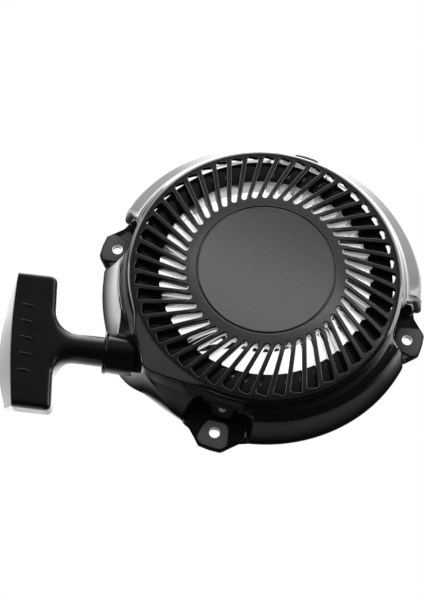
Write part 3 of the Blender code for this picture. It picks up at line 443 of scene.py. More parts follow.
def cord_material():
    """Braided polyester cord: grey-brown with darker tracer flecks, dull and fibrous."""
    m, nt, bsdf = new_mat("braided_cord")
    tc = node(nt, "ShaderNodeTexCoord")
    n1 = node(nt, "ShaderNodeTexNoise")
    n1.inputs["Scale"].default_value = 1500.0
    n1.inputs["Detail"].default_value = 5.0
    nt.links.new(tc.outputs["Object"], n1.inputs["Vector"])
    vo = node(nt, "ShaderNodeTexVoronoi")
    vo.inputs["Scale"].default_value = 620.0
    nt.links.new(tc.outputs["Object"], vo.inputs["Vector"])
    mix = node(nt, "ShaderNodeMix", data_type='RGBA')
    mix.inputs[6].default_value = (0.095, 0.080, 0.064, 1)
    mix.inputs[7].default_value = (0.028, 0.022, 0.017, 1)
    nt.links.new(ramp_node(nt, vo.outputs["Distance"], 0.25, 0.6, 0.0, 1.0), mix.inputs[0])
    mix2 = node(nt, "ShaderNodeMix", data_type='RGBA')
    nt.links.new(mix.outputs[2], mix2.inputs[6])
    mix2.inputs[7].default_value = (0.17, 0.145, 0.12, 1)
    nt.links.new(ramp_node(nt, n1.outputs["Fac"], 0.55, 0.75, 0.0, 0.7), mix2.inputs[0])
    nt.links.new(mix2.outputs[2], bsdf.inputs["Base Color"])
    bsdf.inputs["Roughness"].default_value = 0.85
    bsdf.inputs["Sheen Weight"].default_value = 0.3
    bp = node(nt, "ShaderNodeBump")
    bp.inputs["Strength"].default_value = 0.6
    bp.inputs["Distance"].default_value = 0.0002
    nt.links.new(vo.outputs["Distance"], bp.inputs["Height"])
    nt.links.new(bp.outputs[0], bsdf.inputs["Normal"])
    return m


M_SHELL = shell_material()
M_GRIP = plastic("grip_textured", (0.0030, 0.0030, 0.0034), 0.30, grain=1500.0, bump=0.35, dist=0.00005, ior=1.42)
M_GRIP_EDGE = plastic("grip_gloss", (0.0035, 0.0035, 0.004), 0.12, grain=500.0, bump=0.06, dist=0.00004)
M_NYLON = plastic("pulley_nylon", (0.012, 0.012, 0.013), 0.38, grain=700.0, bump=0.18)
M_PAWL = plastic("pawl_nylon", (0.030, 0.030, 0.033), 0.42, grain=800.0, bump=0.2)
M_ZINC = metal("zinc_plate", (0.40, 0.39, 0.37), 0.30)
M_BLUED = metal("spring_steel", (0.26, 0.27, 0.30), 0.24, dark=0.5)
M_CORD = cord_material()

# ---------------------------------------------------------------- housing
EARS = (78.25, 168.25, 258.25, 348.25)
PCD_R, HOLE_R = 102.5, 3.5
N = 10                       # columns per slot sector
NS = 10                      # points along a slot's side
SECT = 48
PITCH = 360.0 / SECT
HUB_R, SLOT_R = 52.0, 84.2
SKEW, SLOT0 = 10.9, 3.3
W_IN, W_OUT = 1.6, 3.6
R_A, R_B = 50.0, 87.2        # the slotted band's inner and outer circles


def z_top(r):
    return interp(r, ((45.6, 47.45), (50.0, 47.12), (52.0, 46.9), (84.2, 43.75), (87.2, 43.30)))


def z_bot(r):
    return interp(r, ((81.5, 37.6), (82.1, 40.3)))


o0 = pol(SLOT_R, SLOT0)[:2]
i0 = pol(HUB_R, SLOT0 + SKEW)[:2]
SD = (o0 - i0) / np.linalg.norm(o0 - i0)
SN = np.array([-SD[1], SD[0]])
SL = float(np.linalg.norm(o0 - i0))


def u_at_radius(rad):
    """Distance along the slot's centre line from its inner end to a radius."""
    b = float(np.dot(i0, SD))
    c = float(np.dot(i0, i0)) - rad * rad
    return -b + math.sqrt(b * b - c)


UA, UB = u_at_radius(R_A), u_at_radius(R_B)


def resample(path, n):
    path = np.array(path)
    seg = np.r_[0, np.cumsum(np.linalg.norm(np.diff(path, axis=0), axis=1))]
    t = np.linspace(0, seg[-1], n)
    return np.c_[np.interp(t, seg, path[:, 0]), np.interp(t, seg, path[:, 1])]


def slot_loop():
    """Slot outline in its own frame (u along, v across), matched point for point with the cell outline."""
    rc = 1.5
    ui, uo = W_IN, SL - rc
    side = []
    frac = np.linspace(0, 1, NS + 1)
    w_at = lambda u: W_IN + (W_OUT - W_IN) * (u / SL)
    right = [(ui + (uo - ui) * f, -w_at(ui + (uo - ui) * f)) for f in frac]
    fine = []
    for a in np.linspace(-90, 0, 12):
        fine.append((SL - rc + rc * math.cos(math.radians(a)), -w_at(SL) + rc + rc * math.sin(math.radians(a))))
    for a in np.linspace(0, 90, 12):
        fine.append((SL - rc + rc * math.cos(math.radians(a)), w_at(SL) - rc + rc * math.sin(math.radians(a))))
    outer = resample(fine, N + 1)
    left = [(p[0], -p[1]) for p in right[::-1]]
    inner = [(W_IN - W_IN * math.sin(math.radians(a)) * 1.0, W_IN * math.cos(math.radians(a)) * w_at(W_IN) / W_IN)
             for a in np.linspace(0, 180, N + 1)]
    loop = list(right[:-1]) + [tuple(p) for p in outer[:-1]] + list(left[:-1]) + inner[:-1]
    return np.array(loop)


def cell_loop():
    """Cell outline in plan (x, y) for slot 0: fin centre lines and the two circles."""
    def rot(p, deg):
        a = math.radians(deg)
        return np.array([p[0] * math.cos(a) - p[1] * math.sin(a), p[0] * math.sin(a) + p[1] * math.cos(a)])
    us = [UA + (UB - UA) * f for f in np.linspace(0, 1, NS + 1)]
    right = [rot(i0 + SD * u, -PITCH / 2) for u in us]
    left = [rot(i0 + SD * u, PITCH / 2) for u in us][::-1]
    pb, pa = i0 + SD * UB, i0 + SD * UA
    ab, aa = math.degrees(math.atan2(pb[1], pb[0])), math.degrees(math.atan2(pa[1], pa[0]))
    outer = [pol(R_B, ab - PITCH / 2 + PITCH * k / N)[:2] for k in range(N + 1)]
    inner = [pol(R_A, aa + PITCH / 2 - PITCH * k / N)[:2] for k in range(N + 1)]
    return np.array(right[:-1] + outer[:-1] + left[:-1] + inner[:-1]), ab, aa


SLOT_UV = slot_loop()
CELL_XY, ANG_B, ANG_A = cell_loop()


def slot_xy(off):
    """Slot outline moved outwards by off, in plan."""
    uv = SLOT_UV
    nxt, prv = np.roll(uv, -1, 0), np.roll(uv, 1, 0)
    t = nxt - prv
    t /= np.linalg.norm(t, axis=1)[:, None]
    nrm = np.c_[t[:, 1], -t[:, 0]]
    p = uv + nrm * off
    return i0 + p[:, :1] * SD + p[:, 1:] * SN


def with_z(xy, fn, dz=0.0):
    return [np.array([p[0], p[1], fn(float(np.hypot(p[0], p[1]))) + dz]) for p in xy]


def rotate(pts, deg):
    a = math.radians(deg)
    c, s = math.cos(a), math.sin(a)
    return [np.array([p[0] * c - p[1] * s, p[0] * s + p[1] * c, p[2]]) for p in pts]


shell = Builder()
FIL = 0.65
loops = [with_z(CELL_XY, z_top), with_z(CELL_XY * 0.45 + slot_xy(FIL + 0.35) * 0.55, z_top), with_z(slot_xy(FIL + 0.12), z_top)]
for k in range(5):
    a = math.radians(90.0 * k / 4)
    loops.append(with_z(slot_xy(FIL * (1 - math.sin(a))), z_top, -FIL * (1 - math.cos(a))))
loops.append(with_z(slot_xy(0.0), lambda r: 0.5 * (z_top(r) + z_bot(r)) - 0.3))
loops.append(with_z(slot_xy(0.0), z_bot, 0.25))
loops.append(with_z(slot_xy(0.25), z_bot))
loops.append(with_z(CELL_XY, z_bot))
for s in range(SECT):
    shell.grid([rotate(l, PITCH * s) for l in loops], True, False)

# hub top, from the centre outwards
hub_ang = [ANG_A + PITCH / 2 - PITCH * k / N for k in range(SECT * N)]
hub_prof = [(18.0, 47.6)] + round_poly([(43.6, 47.6), (44.15, 47.6), (44.42, 46.75), (45.18, 46.75), (45.45, 47.46), (46.0, 47.42)],
                      [0, 0.22, 0.2, 0.2, 0.22, 0], [0, 3, 3, 3, 3, 0]) + [(48.5, 47.24), (50.0, 47.12)]
rows = [[pol(p[0], a, p[1]) for a in hub_ang] for p in [(6.0, 47.6), (18.0, 47.6), (32.0, 47.6)] + hub_prof[1:]]
rows[-1] = [pol(R_A, a, z_top(R_A)) for a in hub_ang]
shell.grid(rows, True, False)
shell.fan(rows[0], (0, 0, 47.6))

# hub underside: spring pocket and centre post
under = round_poly([(50.0, 37.6), (49.3, 37.6), (49.0, 44.4), (38.9, 44.4), (38.9, 34.2), (36.9, 34.2), (36.9, 44.4),
                    (9.0, 44.4), (9.0, 9.9), (3.1, 9.9), (3.1, 30.0), (1.0, 30.0)],
                   [0, 0.25, 0.8, 0.8, 0.3, 0.3, 0.4, 1.2, 0.4, 0.3, 0.3, 0], [0] + [3] * 10 + [0])
rows = [[pol(p[0], a, p[1]) for a in hub_ang] for p in under]
shell.grid(rows, True, False)
shell.fan(rows[-1], (0, 0, 30.0))

# skirt
BLOCK_EDGE = ((186.0, 89.7), (194.0, 90.0), (201.3, 90.8), (207.0, 92.2), (213.0, 94.2), (219.0, 96.6),
              (223.5, 99.8), (226.5, 102.6), (228.5, 102.4), (231.0, 100.2), (234.0, 98.0),
              (238.0, 95.4), (241.0, 93.9), (245.0, 91.9), (248.6, 90.3), (251.0, 89.7))
BASE_EDGE = ((180.0, 107.0), (184.0, 106.98), (190.0, 106.9), (195.0, 106.85), (200.0, 106.9), (208.0, 107.5), (214.0, 109.4), (218.0, 110.2),
             (222.0, 109.0), (224.0, 107.8), (228.0, 104.6), (231.0, 103.6), (235.0, 102.9),
             (241.0, 102.5), (246.0, 102.7), (252.0, 103.4), (258.0, 103.74), (264.0, 103.64))
RIDGE_Z = ((205.0, 15.0), (214.0, 13.0), (218.0, 16.0), (222.0, 24.0), (226.0, 33.0), (228.5, 36.5),
           (231.0, 30.0), (235.0, 18.5), (239.0, 8.5), (241.5, 3.6), (250.0, 3.6))


def soft(x, table, width):
    """Look-up averaged over a window, which rounds the table's corners."""
    return sum(interp(x + width * k / 4.0, table) for k in range(-4, 5)) / 9.0


def base_radius(th):
    if 184.0 < th < 260.0:
        return soft(th, BASE_EDGE, 0.9)
    return 105.3 + 1.7 * math.cos(math.radians(2.0 * th))


SHOULDER = ((-25.0, 99.0), (-6.0, 102.0), (0.0, 105.4), (10.0, 107.8), (32.0, 107.2), (60.0, 106.6), (120.0, 106.6), (152.0, 107.2), (160.0, 105.0), (168.0, 99.5),
            (178.0, 95.8), (200.0, 95.6), (262.0, 96.6), (300.0, 97.0), (325.0, 98.0), (335.0, 99.0))


def shoulder_radius(th, rb):
    th = th if th < 335.0 else th - 360.0
    return min(soft(th, SHOULDER, 3.0), rb - 0.6)


EAR_POLY = [(96.0, -25.0), (100.9, -23.4), (103.4, -17.0), (108.9, -11.4), (112.8, -7.6), (113.3, 0.0),
            (112.8, 7.6), (108.9, 11.4), (103.4, 17.0), (100.9, 23.4), (96.0, 25.0)]


def ear_radius(delta):
    a = math.radians(delta)
    d = np.array([math.cos(a), math.sin(a)])
    best = 100.0
    for (r0, t0), (r1, t1) in zip(EAR_POLY, EAR_POLY[1:]):
        e = np.array([r1 - r0, t1 - t0])
        den = d[0] * e[1] - d[1] * e[0]
        if abs(den) < 1e-9:
            continue
        s = (r0 * e[1] - t0 * e[0]) / den
        u = (d[1] * s - t0) / e[1] if abs(e[1]) > abs(e[0]) else (d[0] * s - r0) / e[0]
        if -1e-6 <= u <= 1 + 1e-6 and s > 0:
            best = max(best, s)
    return best


def block_weight(th):
    if th <= 196.0 or th >= 258.0:
        return 0.0
    if th < 230.0:
        return smoothstep((th - 199.0) / 15.0)
    return 1.0 - smoothstep((th - 250.5) / 6.0)


HALF = (6.4, 6.5, 7.6, 12.1, 12.4, 12.5)          # pocket half-angle at levels A..F
TAU = (0.7, 0.9, 1.2, 1.2, 1.1, 1.0)
# the pocket walls that stand closer to their ear: (ear, side) -> half-angle at levels C..F
CLOSE = {(1, 1): (7.0, 8.4, 8.5, 8.6), (3, -1): (7.3, 9.2, 9.4, 9.5)}


def half_angle(ear, side, level, grow):
    h = HALF[level]
    if level >= 2 and (ear, side) in CLOSE:
        h = CLOSE[(ear, side)][level - 2]
    return h + grow


def warp_table(lo, hi):
    d = np.linspace(-45, 45, 1801)
    rho = 1.0 + 2.2 * np.exp(-((d - hi) / 1.2) ** 2) + 2.2 * np.exp(-((d + lo) / 1.2) ** 2)
    c = np.r_[0, np.cumsum((rho[1:] + rho[:-1]) / 2)]
    c = c / c[-1] * 90.0 - 45.0
    return c, d


def level_angle(phi, level, grow):
    """Angle of a column at a control level, columns crowded at the pocket edges."""
    if level == 0:
        return phi
    k = round((phi - EARS[0]) / 90.0)
    centre = EARS[0] + 90.0 * k
    delta = phi - centre
    lo, hi = half_angle(k % 4, -1, level, grow), half_angle(k % 4, 1, level, grow)
    key = (round(lo, 3), round(hi, 3))
    if key not in WARPS:
        WARPS[key] = warp_table(lo, hi)
    c, d = WARPS[key]
    m = 0.35 if level == 1 else 1.0
    return centre + (1 - m) * delta + m * float(np.interp(delta, c, d))


WARPS = {}


def far_side(th):
    """1 where the shoulder slopes down outwards (behind and to the right), 0 elsewhere."""
    return smoothstep((th + 14.0) / 14.0) * (1.0 - smoothstep((th - 166.0) / 16.0))


def control(th, delta, ear, level, inner):
    """(r, z, cut) of one control level at an angle; delta is the angle from the nearest ear."""
    fs = far_side(th if th < 335.0 else th - 360.0)
    rb = base_radius(th) + 2.4 * fs
    t = 2.4
    h = half_angle(ear, 1 if delta > 0 else -1, level, 1.35 if inner else 0.0)
    tau = TAU[level]
    w = 1.0 - smoothstep((abs(delta) - h + tau) / (2 * tau))
    rs = shoulder_radius(th % 360.0, rb)
    rc = min(10.5, max(2.6, 1.0 * (rs - 93.4)))
    zs_ = 29.8 - 7.4 * fs
    rc = (1.0 - fs) * rc + fs * 5.0
    rx = 93.6 + 1.2 * fs
    cx = 1.2 + 1.6 * fs
    if inner:
        normal = ((87.2, 40.4, 0.3), (87.5, 39.6, 0.5), (90.9, 28.0, 1.2), (max(rs - 2.5, 92.2), 27.2 - 7.0 * fs, 0.85 * rc), (rb - 2.5, 3.0, 0.4), (rb - t, 0.0, 0))
        pocket = ((87.2, 40.4, 0.3), (87.5, 39.6, 0.5), (89.7, 26.0, 0.8), (90.4, 12.0, 0.8), (90.7, 3.0, 0.4), (90.8, 0.0, 0))
    else:
        normal = ((87.2, 43.3, 0), (89.8, 42.7, 4.6), (rx, 30.4, cx), (rs, zs_, rc), (rb - 0.1, 3.0, 0.5), (rb, 0.0, 0))
        er = ear_radius(delta)
        pocket = ((87.2, 43.3, 0), (89.8, 42.7, 4.6), (92.1, 27.0, 2.0), (93.0, 4.0, 1.6), (er, 4.0, 0.5), (er, 0.0, 0))
    out = normal[level]
    wb = block_weight(th)
    if wb > 0.0:
        re = max(soft(th, BLOCK_EDGE, 1.0), 89.7)
        zr = soft(th, RIDGE_Z, 1.0)
        rr = rb - 0.02 * zr
        zs = min(max(32.0, zr + 1.2), 37.8)
        sr = min(re + 1.5, rr - 0.25)
        if inner:
            blk = ((87.2, 40.4, 0.3), (max(re - 2.4, 87.6), 39.7, 0.8), (sr - t, zs - 1.6, 1.0), (rr - t, zr - min(1.3, 0.25 * zr), 1.5),
                   (rb - t - 0.1, min(3.0, 0.4 * zr), 0.4), (rb - t, 0.0, 0))
        else:
            blk = ((87.2, 43.3, 0), (re, 42.3, 1.4), (sr, zs, 1.3), (rr, zr, 1.6), (rb - 0.05, min(3.0, 0.4 * zr), 0.5), (rb, 0.0, 0))
        b = blk[level]
        out = tuple((1 - wb) * p + wb * q for p, q in zip(out, b))
    p = pocket[level]
    return tuple((1 - w) * a + w * b for a, b in zip(out, p))


def skirt_column(phi, inner):
    P, cuts = [], []
    for lv in range(6):
        th = level_angle(phi, lv, 1.35 if inner else 0.0)
        k = round((th - EARS[0]) / 90.0)
        delta = th - (EARS[0] + 90.0 * k)
        r, z, c = control(th % 360.0, delta, k % 4, lv, inner)
        P.append(pol(r, th, z))
        cuts.append(c)
    K = [0, 4, 5, 9, 4, 0]
    pts = round_poly(P, cuts, K)
    # extra rows along the tall wall
    out = []
    split = 1 + 4 + 5 + 9
    for i, p in enumerate(pts):
        out.append(p)
        if i == split - 1:
            for f in (0.33, 0.66):
                out.append(p + (pts[i + 1] - p) * f)
    return out


phis = [ANG_B - PITCH / 2 + PITCH * k / N for k in range(SECT * N)]
outer_cols = [skirt_column(p, False) for p in phis]
inner_cols = [skirt_column(p, True) for p in phis]
outer_rows = [[c[i] for c in outer_cols] for i in range(len(outer_cols[0]))]
inner_rows = [[c[i] for c in inner_cols] for i in range(len(inner_cols[0]))]
outer_rows[0] = [pol(R_B, p, z_top(R_B)) for p in phis]
inner_rows[0] = [pol(R_B, p, z_bot(R_B)) for p in phis]
shell.grid(outer_rows + inner_rows[::-1], True, False)
housing = shell.object("housing_shell", M_SHELL, 45.0)

OUT_Y, OUT_Z = -61.0, 23.0
cut = cyl_cutter([(pol(PCD_R, e, -3.0), pol(PCD_R, e, 8.0), HOLE_R) for e in EARS]
                 + [((-104.0, OUT_Y, OUT_Z), (-78.2, OUT_Y, OUT_Z), 11.6)], 48)
boolean(housing, cut)
housing.data.shade_smooth()
housing.data.set_sharp_from_angle(angle=math.radians(45.0))
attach(housing, "root")
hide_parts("housing")


def finish_piece(ob, body, nodes):
    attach(ob, body)
    if nodes:
        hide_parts(*nodes)
    return ob


# air baffle and inner air wall with the rope's window
def baffle_edge(a):
    a = (a + 40.0) % 360.0 - 40.0
    return interp(a, ((-40.0, 85.0), (-8.0, 84.6), (6.0, 83.8), (40.0, 83.3), (120.0, 83.3), (138.0, 84.2), (152.0, 85.0), (320.0, 85.0)))


bb = Builder()
bang = [1.5 * k for k in range(240)]
bprof = round_poly([(78.0, 38.0), (85.0, 38.0), (85.0, 36.0), (71.6, 36.0), (71.3, 20.5), (69.7, 20.5), (69.5, 30.2), (69.0, 30.6),
                    (69.0, 38.0), (78.0, 38.0)], [0, 0.3, 0.3, 1.0, 0.3, 0.3, 0.15, 0.15, 0.5, 0], [0, 3, 3, 3, 3, 3, 3, 3, 3, 0])[:-1]
brows = [[pol(p[0] if p[0] < 78.5 else p[0] - 85.0 + baffle_edge(a), a, p[1]) for a in bang] for p in bprof]
bb.grid(brows, True, True)
baffle = bb.object("air_baffle", M_SHELL, 40.0)
EYE = np.array([-80.0, OUT_Y, OUT_Z])
R_LAY = (37.8, 42.1)
ROPE_PITCH = 4.4
eye_dist = math.hypot(EYE[0], EYE[1])
tan_ang = math.degrees(math.atan2(EYE[1], EYE[0])) + math.degrees(math.acos(R_LAY[1] / eye_dist))
TAN = pol(R_LAY[1], tan_ang, OUT_Z + ROPE_PITCH / 2)
run = EYE - TAN
rdir = run / np.linalg.norm(run)
wa, wb_ = TAN + rdir * 42.0, TAN + rdir * 72.0
wn = np.array([-rdir[1], rdir[0], 0.0])
wb = Builder()
quad = [wa - wn * 6, wb_ - wn * 6, wb_ + wn * 6, wa + wn * 6]
wb.grid([[np.array([q[0], q[1], 15.0]) for q in quad], [np.array([q[0], q[1], 30.0]) for q in quad]], True, False)
wb.ngon([(q[0], q[1], 15.0) for q in quad], flip=True)
wb.ngon([(q[0], q[1], 30.0) for q in quad])
wcut = wb.object("window", M_SHELL)
boolean(baffle, wcut)
finish_piece(baffle, "root", ["housing"])


def rounded_box(name, size, mat, bevel=0.3, seg=3, matrix=Matrix.Identity(4)):
    bm = bmesh.new()
    bmesh.ops.create_cube(bm, size=1.0)
    bmesh.ops.scale(bm, vec=Vector(size) * MM, verts=bm.verts[:])
    bmesh.ops.bevel(bm, geom=bm.edges[:], offset=bevel * MM, segments=seg, profile=0.5, affect='EDGES')
    bmesh.ops.transform(bm, matrix=matrix, verts=bm.verts[:])
    me = bpy.data.meshes.new(name)
    bm.to_mesh(me)
    bm.free()
    ob = bpy.data.objects.new(name, me)
    SCENE.collection.objects.link(ob)
    me.materials.append(mat)
    me.shade_smooth()
    me.set_sharp_from_angle(angle=math.radians(45))
    return ob


# stiffening ribs under every fourth fin
for k in range(0, SECT, 4):
    a = SLOT0 + PITCH * (k + 1.5)
    oo, ii = pol(SLOT_R, a), pol(HUB_R, a + SKEW)
    d = (oo - ii) / np.linalg.norm(oo - ii)
    mid = ii + d * 9.0
    rib = rounded_box("fin_rib_%02d" % k, (20.0, 2.0, 13.4), M_SHELL, 0.35, 2,
                      Matrix.Translation(Vector((mid[0], mid[1], 32.7)) * MM) @ Matrix.Rotation(math.atan2(d[1], d[0]), 4, 'Z'))
    finish_piece(rib, "root", ["housing"])

# ear pads
for k, e in enumerate(EARS):
    ca, sa = math.cos(math.radians(e)), math.sin(math.radians(e))
    outline = [(95.0, -6.6), (101.6, -9.5), (109.0, -10.5), (112.2, -7.3), (112.7, 0.0), (112.2, 7.0), (108.7, 10.5),
               (101.0, 9.2), (95.6, 7.4), (94.0, 4.0)]
    loop = outline + outline[:1]
    mids = [((outline[i][0] + outline[(i + 1) % 10][0]) / 2, (outline[i][1] + outline[(i + 1) % 10][1]) / 2) for i in range(10)]
    path = [mids[-1]]
    ring = []
    for i in range(10):
        a_, p_, b_ = np.array(mids[i - 1]), np.array(outline[i]), np.array(mids[i])
        d1, d2 = a_ - p_, b_ - p_
        c = min(1.4, 0.9 * np.linalg.norm(d1), 0.9 * np.linalg.norm(d2))
        s_, e_ = p_ + d1 / np.linalg.norm(d1) * c, p_ + d2 / np.linalg.norm(d2) * c
        for m in range(4):
            t = m / 3
            ring.append((1 - t) ** 2 * s_ + 2 * t * (1 - t) * p_ + t * t * e_)
    ring = np.array(ring)
    cen = np.array([103.3, 0.0])
    b = Builder()
    lv = []
    for off, z in ((0.0, 1.0), (0.0, 4.6), (0.10, 5.0), (0.45, 5.2)):
        q = ring - (ring - cen) / np.linalg.norm(ring - cen, axis=1)[:, None] * off
        lv.append([np.array([r * ca - t * sa, r * sa + t * ca, z]) for r, t in q])
    b.grid(lv, True, False)
    b.ngon(lv[-1])
    b.ngon(lv[0], flip=True)
    pad = b.object("ear_pad_%d" % k, M_SHELL, 40.0)
    boolean(pad, cyl_cutter([(pol(PCD_R, e, -3.0), pol(PCD_R, e, 8.0), HOLE_R)], 48))
    pad.data.shade_smooth()
    pad.data.set_sharp_from_angle(angle=math.radians(40))
    finish_piece(pad, "root", ["housing"])

# rope outlet collar, turned about the rope's axis (profile: radius, distance along +X from the mouth)
collar = turned("outlet_collar", [(10.6, 0.0, 0.5), (14.1, 0.0, 0.8), (14.1, 1.9, 0.7), (13.2, 2.3, 0.4), (13.2, 20.6), (6.1, 20.6), (6.1, 9.4),
                                  (10.4, 9.2, 0.6)][::-1], M_SHELL, cut=0.5, segs=96, axis='X', origin=(-97.4, OUT_Y, OUT_Z))
finish_piece(collar, "root", ["housing"])

# ---------------------------------------------------------------- fixed inner pieces
guide = turned("guide_eyelet", [(8.5, 0.0, 0.5), (8.5, 1.3, 0.3), (5.7, 1.3, 0.3), (5.7, 11.4, 0.4), (3.4, 11.4, 0.5), (2.75, 9.0, 1.0),
                                (2.75, 2.4, 1.0), (3.8, 0.0, 0.6)][::-1], M_ZINC, cut=0.4, k=4, segs=64, axis='X', origin=(-89.3, OUT_Y, OUT_Z))
finish_piece(guide, "root", ["rope_guide"])

turns_m, per = 9.0, 72
sp = []
for i in range(int(turns_m * per) + 1):
    f = i / (turns_m * per)
    sp.append(pol(13.7 + (35.2 - 13.7) * f, 360.0 * turns_m * f))
path = [pol(12.9, -26.0), pol(13.1, -14.0)] + sp + [pol(34.6, 5.0), pol(33.2, 13.0)]
sb = Builder()
rows = []
th_s = 0.3
for i, p in enumerate(path):
    t = path[min(i + 1, len(path) - 1)] - path[max(i - 1, 0)]
    t = t / np.linalg.norm(t)
    nn = np.array([-t[1], t[0], 0])
    z0, z1 = 35.2, 43.6
    ring = [p - nn * th_s + [0, 0, z0 + 0.2], p - nn * th_s + [0, 0, z1 - 0.2], p - nn * 0.1 + [0, 0, z1], p + nn * 0.1 + [0, 0, z1],
            p + nn * th_s + [0, 0, z1 - 0.2], p + nn * th_s + [0, 0, z0 + 0.2], p + nn * 0.1 + [0, 0, z0], p - nn * 0.1 + [0, 0, z0]]
    rows.append(ring)
sb.grid(rows, True, False)
sb.ngon(rows[0], flip=True)
sb.ngon(rows[-1])
mspring = sb.object("mainspring_coil", M_BLUED, 35.0)
finish_piece(mspring, "root", ["mainspring"])

keeper = turned("keeper_cover", [(38.4, 33.9, 0.3), (38.4, 33.0, 0.3), (28.0, 33.0, 1.0), (26.6, 32.4, 1.0), (20.4, 32.4, 1.0), (19.0, 33.0, 1.0),
                                 (15.4, 33.0, 0.4), (15.4, 34.7, 0.2), (16.2, 34.7, 0.2), (16.2, 33.9, 0.4), (19.3, 33.9, 1.0),
                                 (20.7, 33.2, 1.0), (26.3, 33.2, 1.0), (27.7, 33.9, 1.0)], M_ZINC, segs=120)
finish_piece(keeper, "root", ["spring_keeper"])

washer = turned("washer_disc", [(8.6, 7.75), (8.6, 7.05), (3.2, 7.05), (3.2, 7.75)], M_ZINC, cut=0.18, segs=72)
finish_piece(washer, "root", ["screw_washer"])

screw = turned("centre_bolt", [(0.0, 27.0), (2.2, 27.0, 0.4), (2.75, 26.2, 0.3), (2.75, 6.75, 0.2), (7.4, 6.75, 0.25), (7.4, 6.0, 0.3),
                               (5.9, 5.6, 0.3), (5.9, 0.6, 0.4), (5.1, 0.0, 0.3), (0.0, 0.0)], M_ZINC, segs=96, closed=False)
hexb = Builder()
hr = [pol(5.0 / math.cos(math.radians(30)), 60.0 * i)[:2] for i in range(6)]
ring_o = [pol(9.0, 60.0 * i)[:2] for i in range(6)]
for (zz0, zz1) in ((-1.0, 5.6),):
    hexb.grid([[(*p, zz0) for p in ring_o], [(*p, zz1) for p in ring_o], [(*p, zz1) for p in hr], [(*p, zz0) for p in hr]], True, True)
hc = hexb.object("hexcut", M_ZINC)
boolean(screw, hc)
screw.data.shade_smooth()
screw.data.set_sharp_from_angle(angle=math.radians(30))
finish_piece(screw, "root", ["center_screw"])

# ---------------------------------------------------------------- rope
lead_path = [TAN + rdir * (0.4 + (np.linalg.norm(EYE - TAN) - 1.4) * f) for f in np.linspace(0, 1, 90)]
lead_path += [np.array([x, OUT_Y, OUT_Z]) for x in (-81.2, -82.4, -83.4)]
lead = tube("rope_run", lead_path, 2.0, M_CORD, 18, strands=4, pitch=6.5)
finish_piece(lead, "root", ["rope_lead"])

turns = 3.65
coil = []
nn_ = int(turns * 110)
z_lo, z_hi = OUT_Z - ROPE_PITCH / 2, OUT_Z + ROPE_PITCH / 2
for i in range(nn_ + 1):
    t = turns * i / nn_
    ang = tan_ang + 1.0 + 360.0 * (turns - t)
    rad = interp(t, [(0.0, R_LAY[0]), (1.8, R_LAY[0]), (2.1, R_LAY[1]), (turns, R_LAY[1])])
    z = interp(t, [(0.0, z_hi), (0.8, z_hi), (1.05, z_lo), (2.8, z_lo), (3.08, z_hi), (turns, z_hi)])
    coil.append(pol(rad, ang, z))
wind = tube("rope_coil", coil, 1.97, M_CORD, 14, strands=4, pitch=6.5)
finish_piece(wind, "pulley", ["rope_winding"])

KNOT_X = -141.0
pull_path = [np.array([x, OUT_Y, OUT_Z]) for x in np.linspace(-84.2, -135.4, 150)]
pull = tube("rope_through_handle", pull_path, 2.0, M_CORD, 18, strands=4, pitch=6.5)
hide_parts("rope_pull")
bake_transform(pull)


def knot(name, centre, axis, length, radius):
    """Overhand knot: a cord wrapped in two lobes round its own axis."""
    ax = np.array(axis, float)
    ax /= np.linalg.norm(ax)
    u = np.cross(ax, [0, 0, 1.0])
    u /= np.linalg.norm(u)
    v = np.cross(ax, u)
    pts = []
    cr = 1.75
    R = radius - cr * 0.9
    for i in range(181):
        f = i / 180
        a = 2 * math.pi * (2.15 * f)
        along = (f - 0.5) * (length - 2 * cr) + 1.2 * math.sin(a)
        rr = R * (0.35 + 0.65 * math.sin(math.pi * min(1, max(0, f))) ** 0.5)
        pts.append(np.array(centre, float) + ax * along + (u * math.cos(a) + v * math.sin(a)) * rr)
    return tube(name, pts, cr, M_CORD, 16, strands=4, pitch=6.0)


kc = pol(52.6, 327.0, 15.6)
pk = knot("pulley_rope_knot", kc, pol(1.0, 327.0), 12.4, 3.7)
finish_piece(pk, "pulley", ["pulley_knot"])
hk = knot("handle_rope_knot", (KNOT_X - 0.9, OUT_Y, OUT_Z), (1, 0, 0), 9.0, 4.4)
finish_piece(hk, "handle", ["handle_knot"])
anchor = turned("anchor_disc", [(7.0, 0.0), (7.0, 1.4), (2.5, 1.4), (2.5, 0.0)], M_ZINC, cut=0.3, segs=64, axis='X', origin=(-136.4, OUT_Y, OUT_Z))
finish_piece(anchor, "handle", ["rope_anchor"])

# ---------------------------------------------------------------- pulley
pulley = turned("rope_pulley", [
    (12.6, 42.6), (12.6, 30.6, 1.0), (46.0, 30.6, 0.6), (46.0, 28.7, 0.5), (34.9, 27.6, 1.0), (34.9, 18.4, 1.0), (46.0, 17.3, 0.5),
    (46.0, 15.6, 0.6), (14.8, 15.6, 0.8), (14.8, 10.5, 0.5), (12.3, 10.5, 0.3), (12.3, 17.0, 0.3), (9.3, 17.0, 0.3), (9.3, 42.6, 0.5)],
    M_NYLON, segs=160)
pb = Builder()
for k in range(4):
    a0, a1 = 52.0 + 90.0 * k, 94.0 + 90.0 * k
    pts = [pol(32.4, a0 + (a1 - a0) * i / 16)[:2] for i in range(17)] + [pol(18.2, a1 - (a1 - a0) * i / 12)[:2] for i in range(13)]
    pb.grid([[(p[0], p[1], 12.0) for p in pts], [(p[0], p[1], 27.0) for p in pts]], True, False)
    pb.ngon([(p[0], p[1], 12.0) for p in pts], flip=True)
    pb.ngon([(p[0], p[1], 27.0) for p in pts])
pc = pb.object("pockets", M_NYLON)
boolean(pulley, pc)
pulley.data.shade_smooth()
pulley.data.set_sharp_from_angle(angle=math.radians(35))
finish_piece(pulley, "pulley", ["pulley"])
PAWL_ANG = (120.0, 300.0)
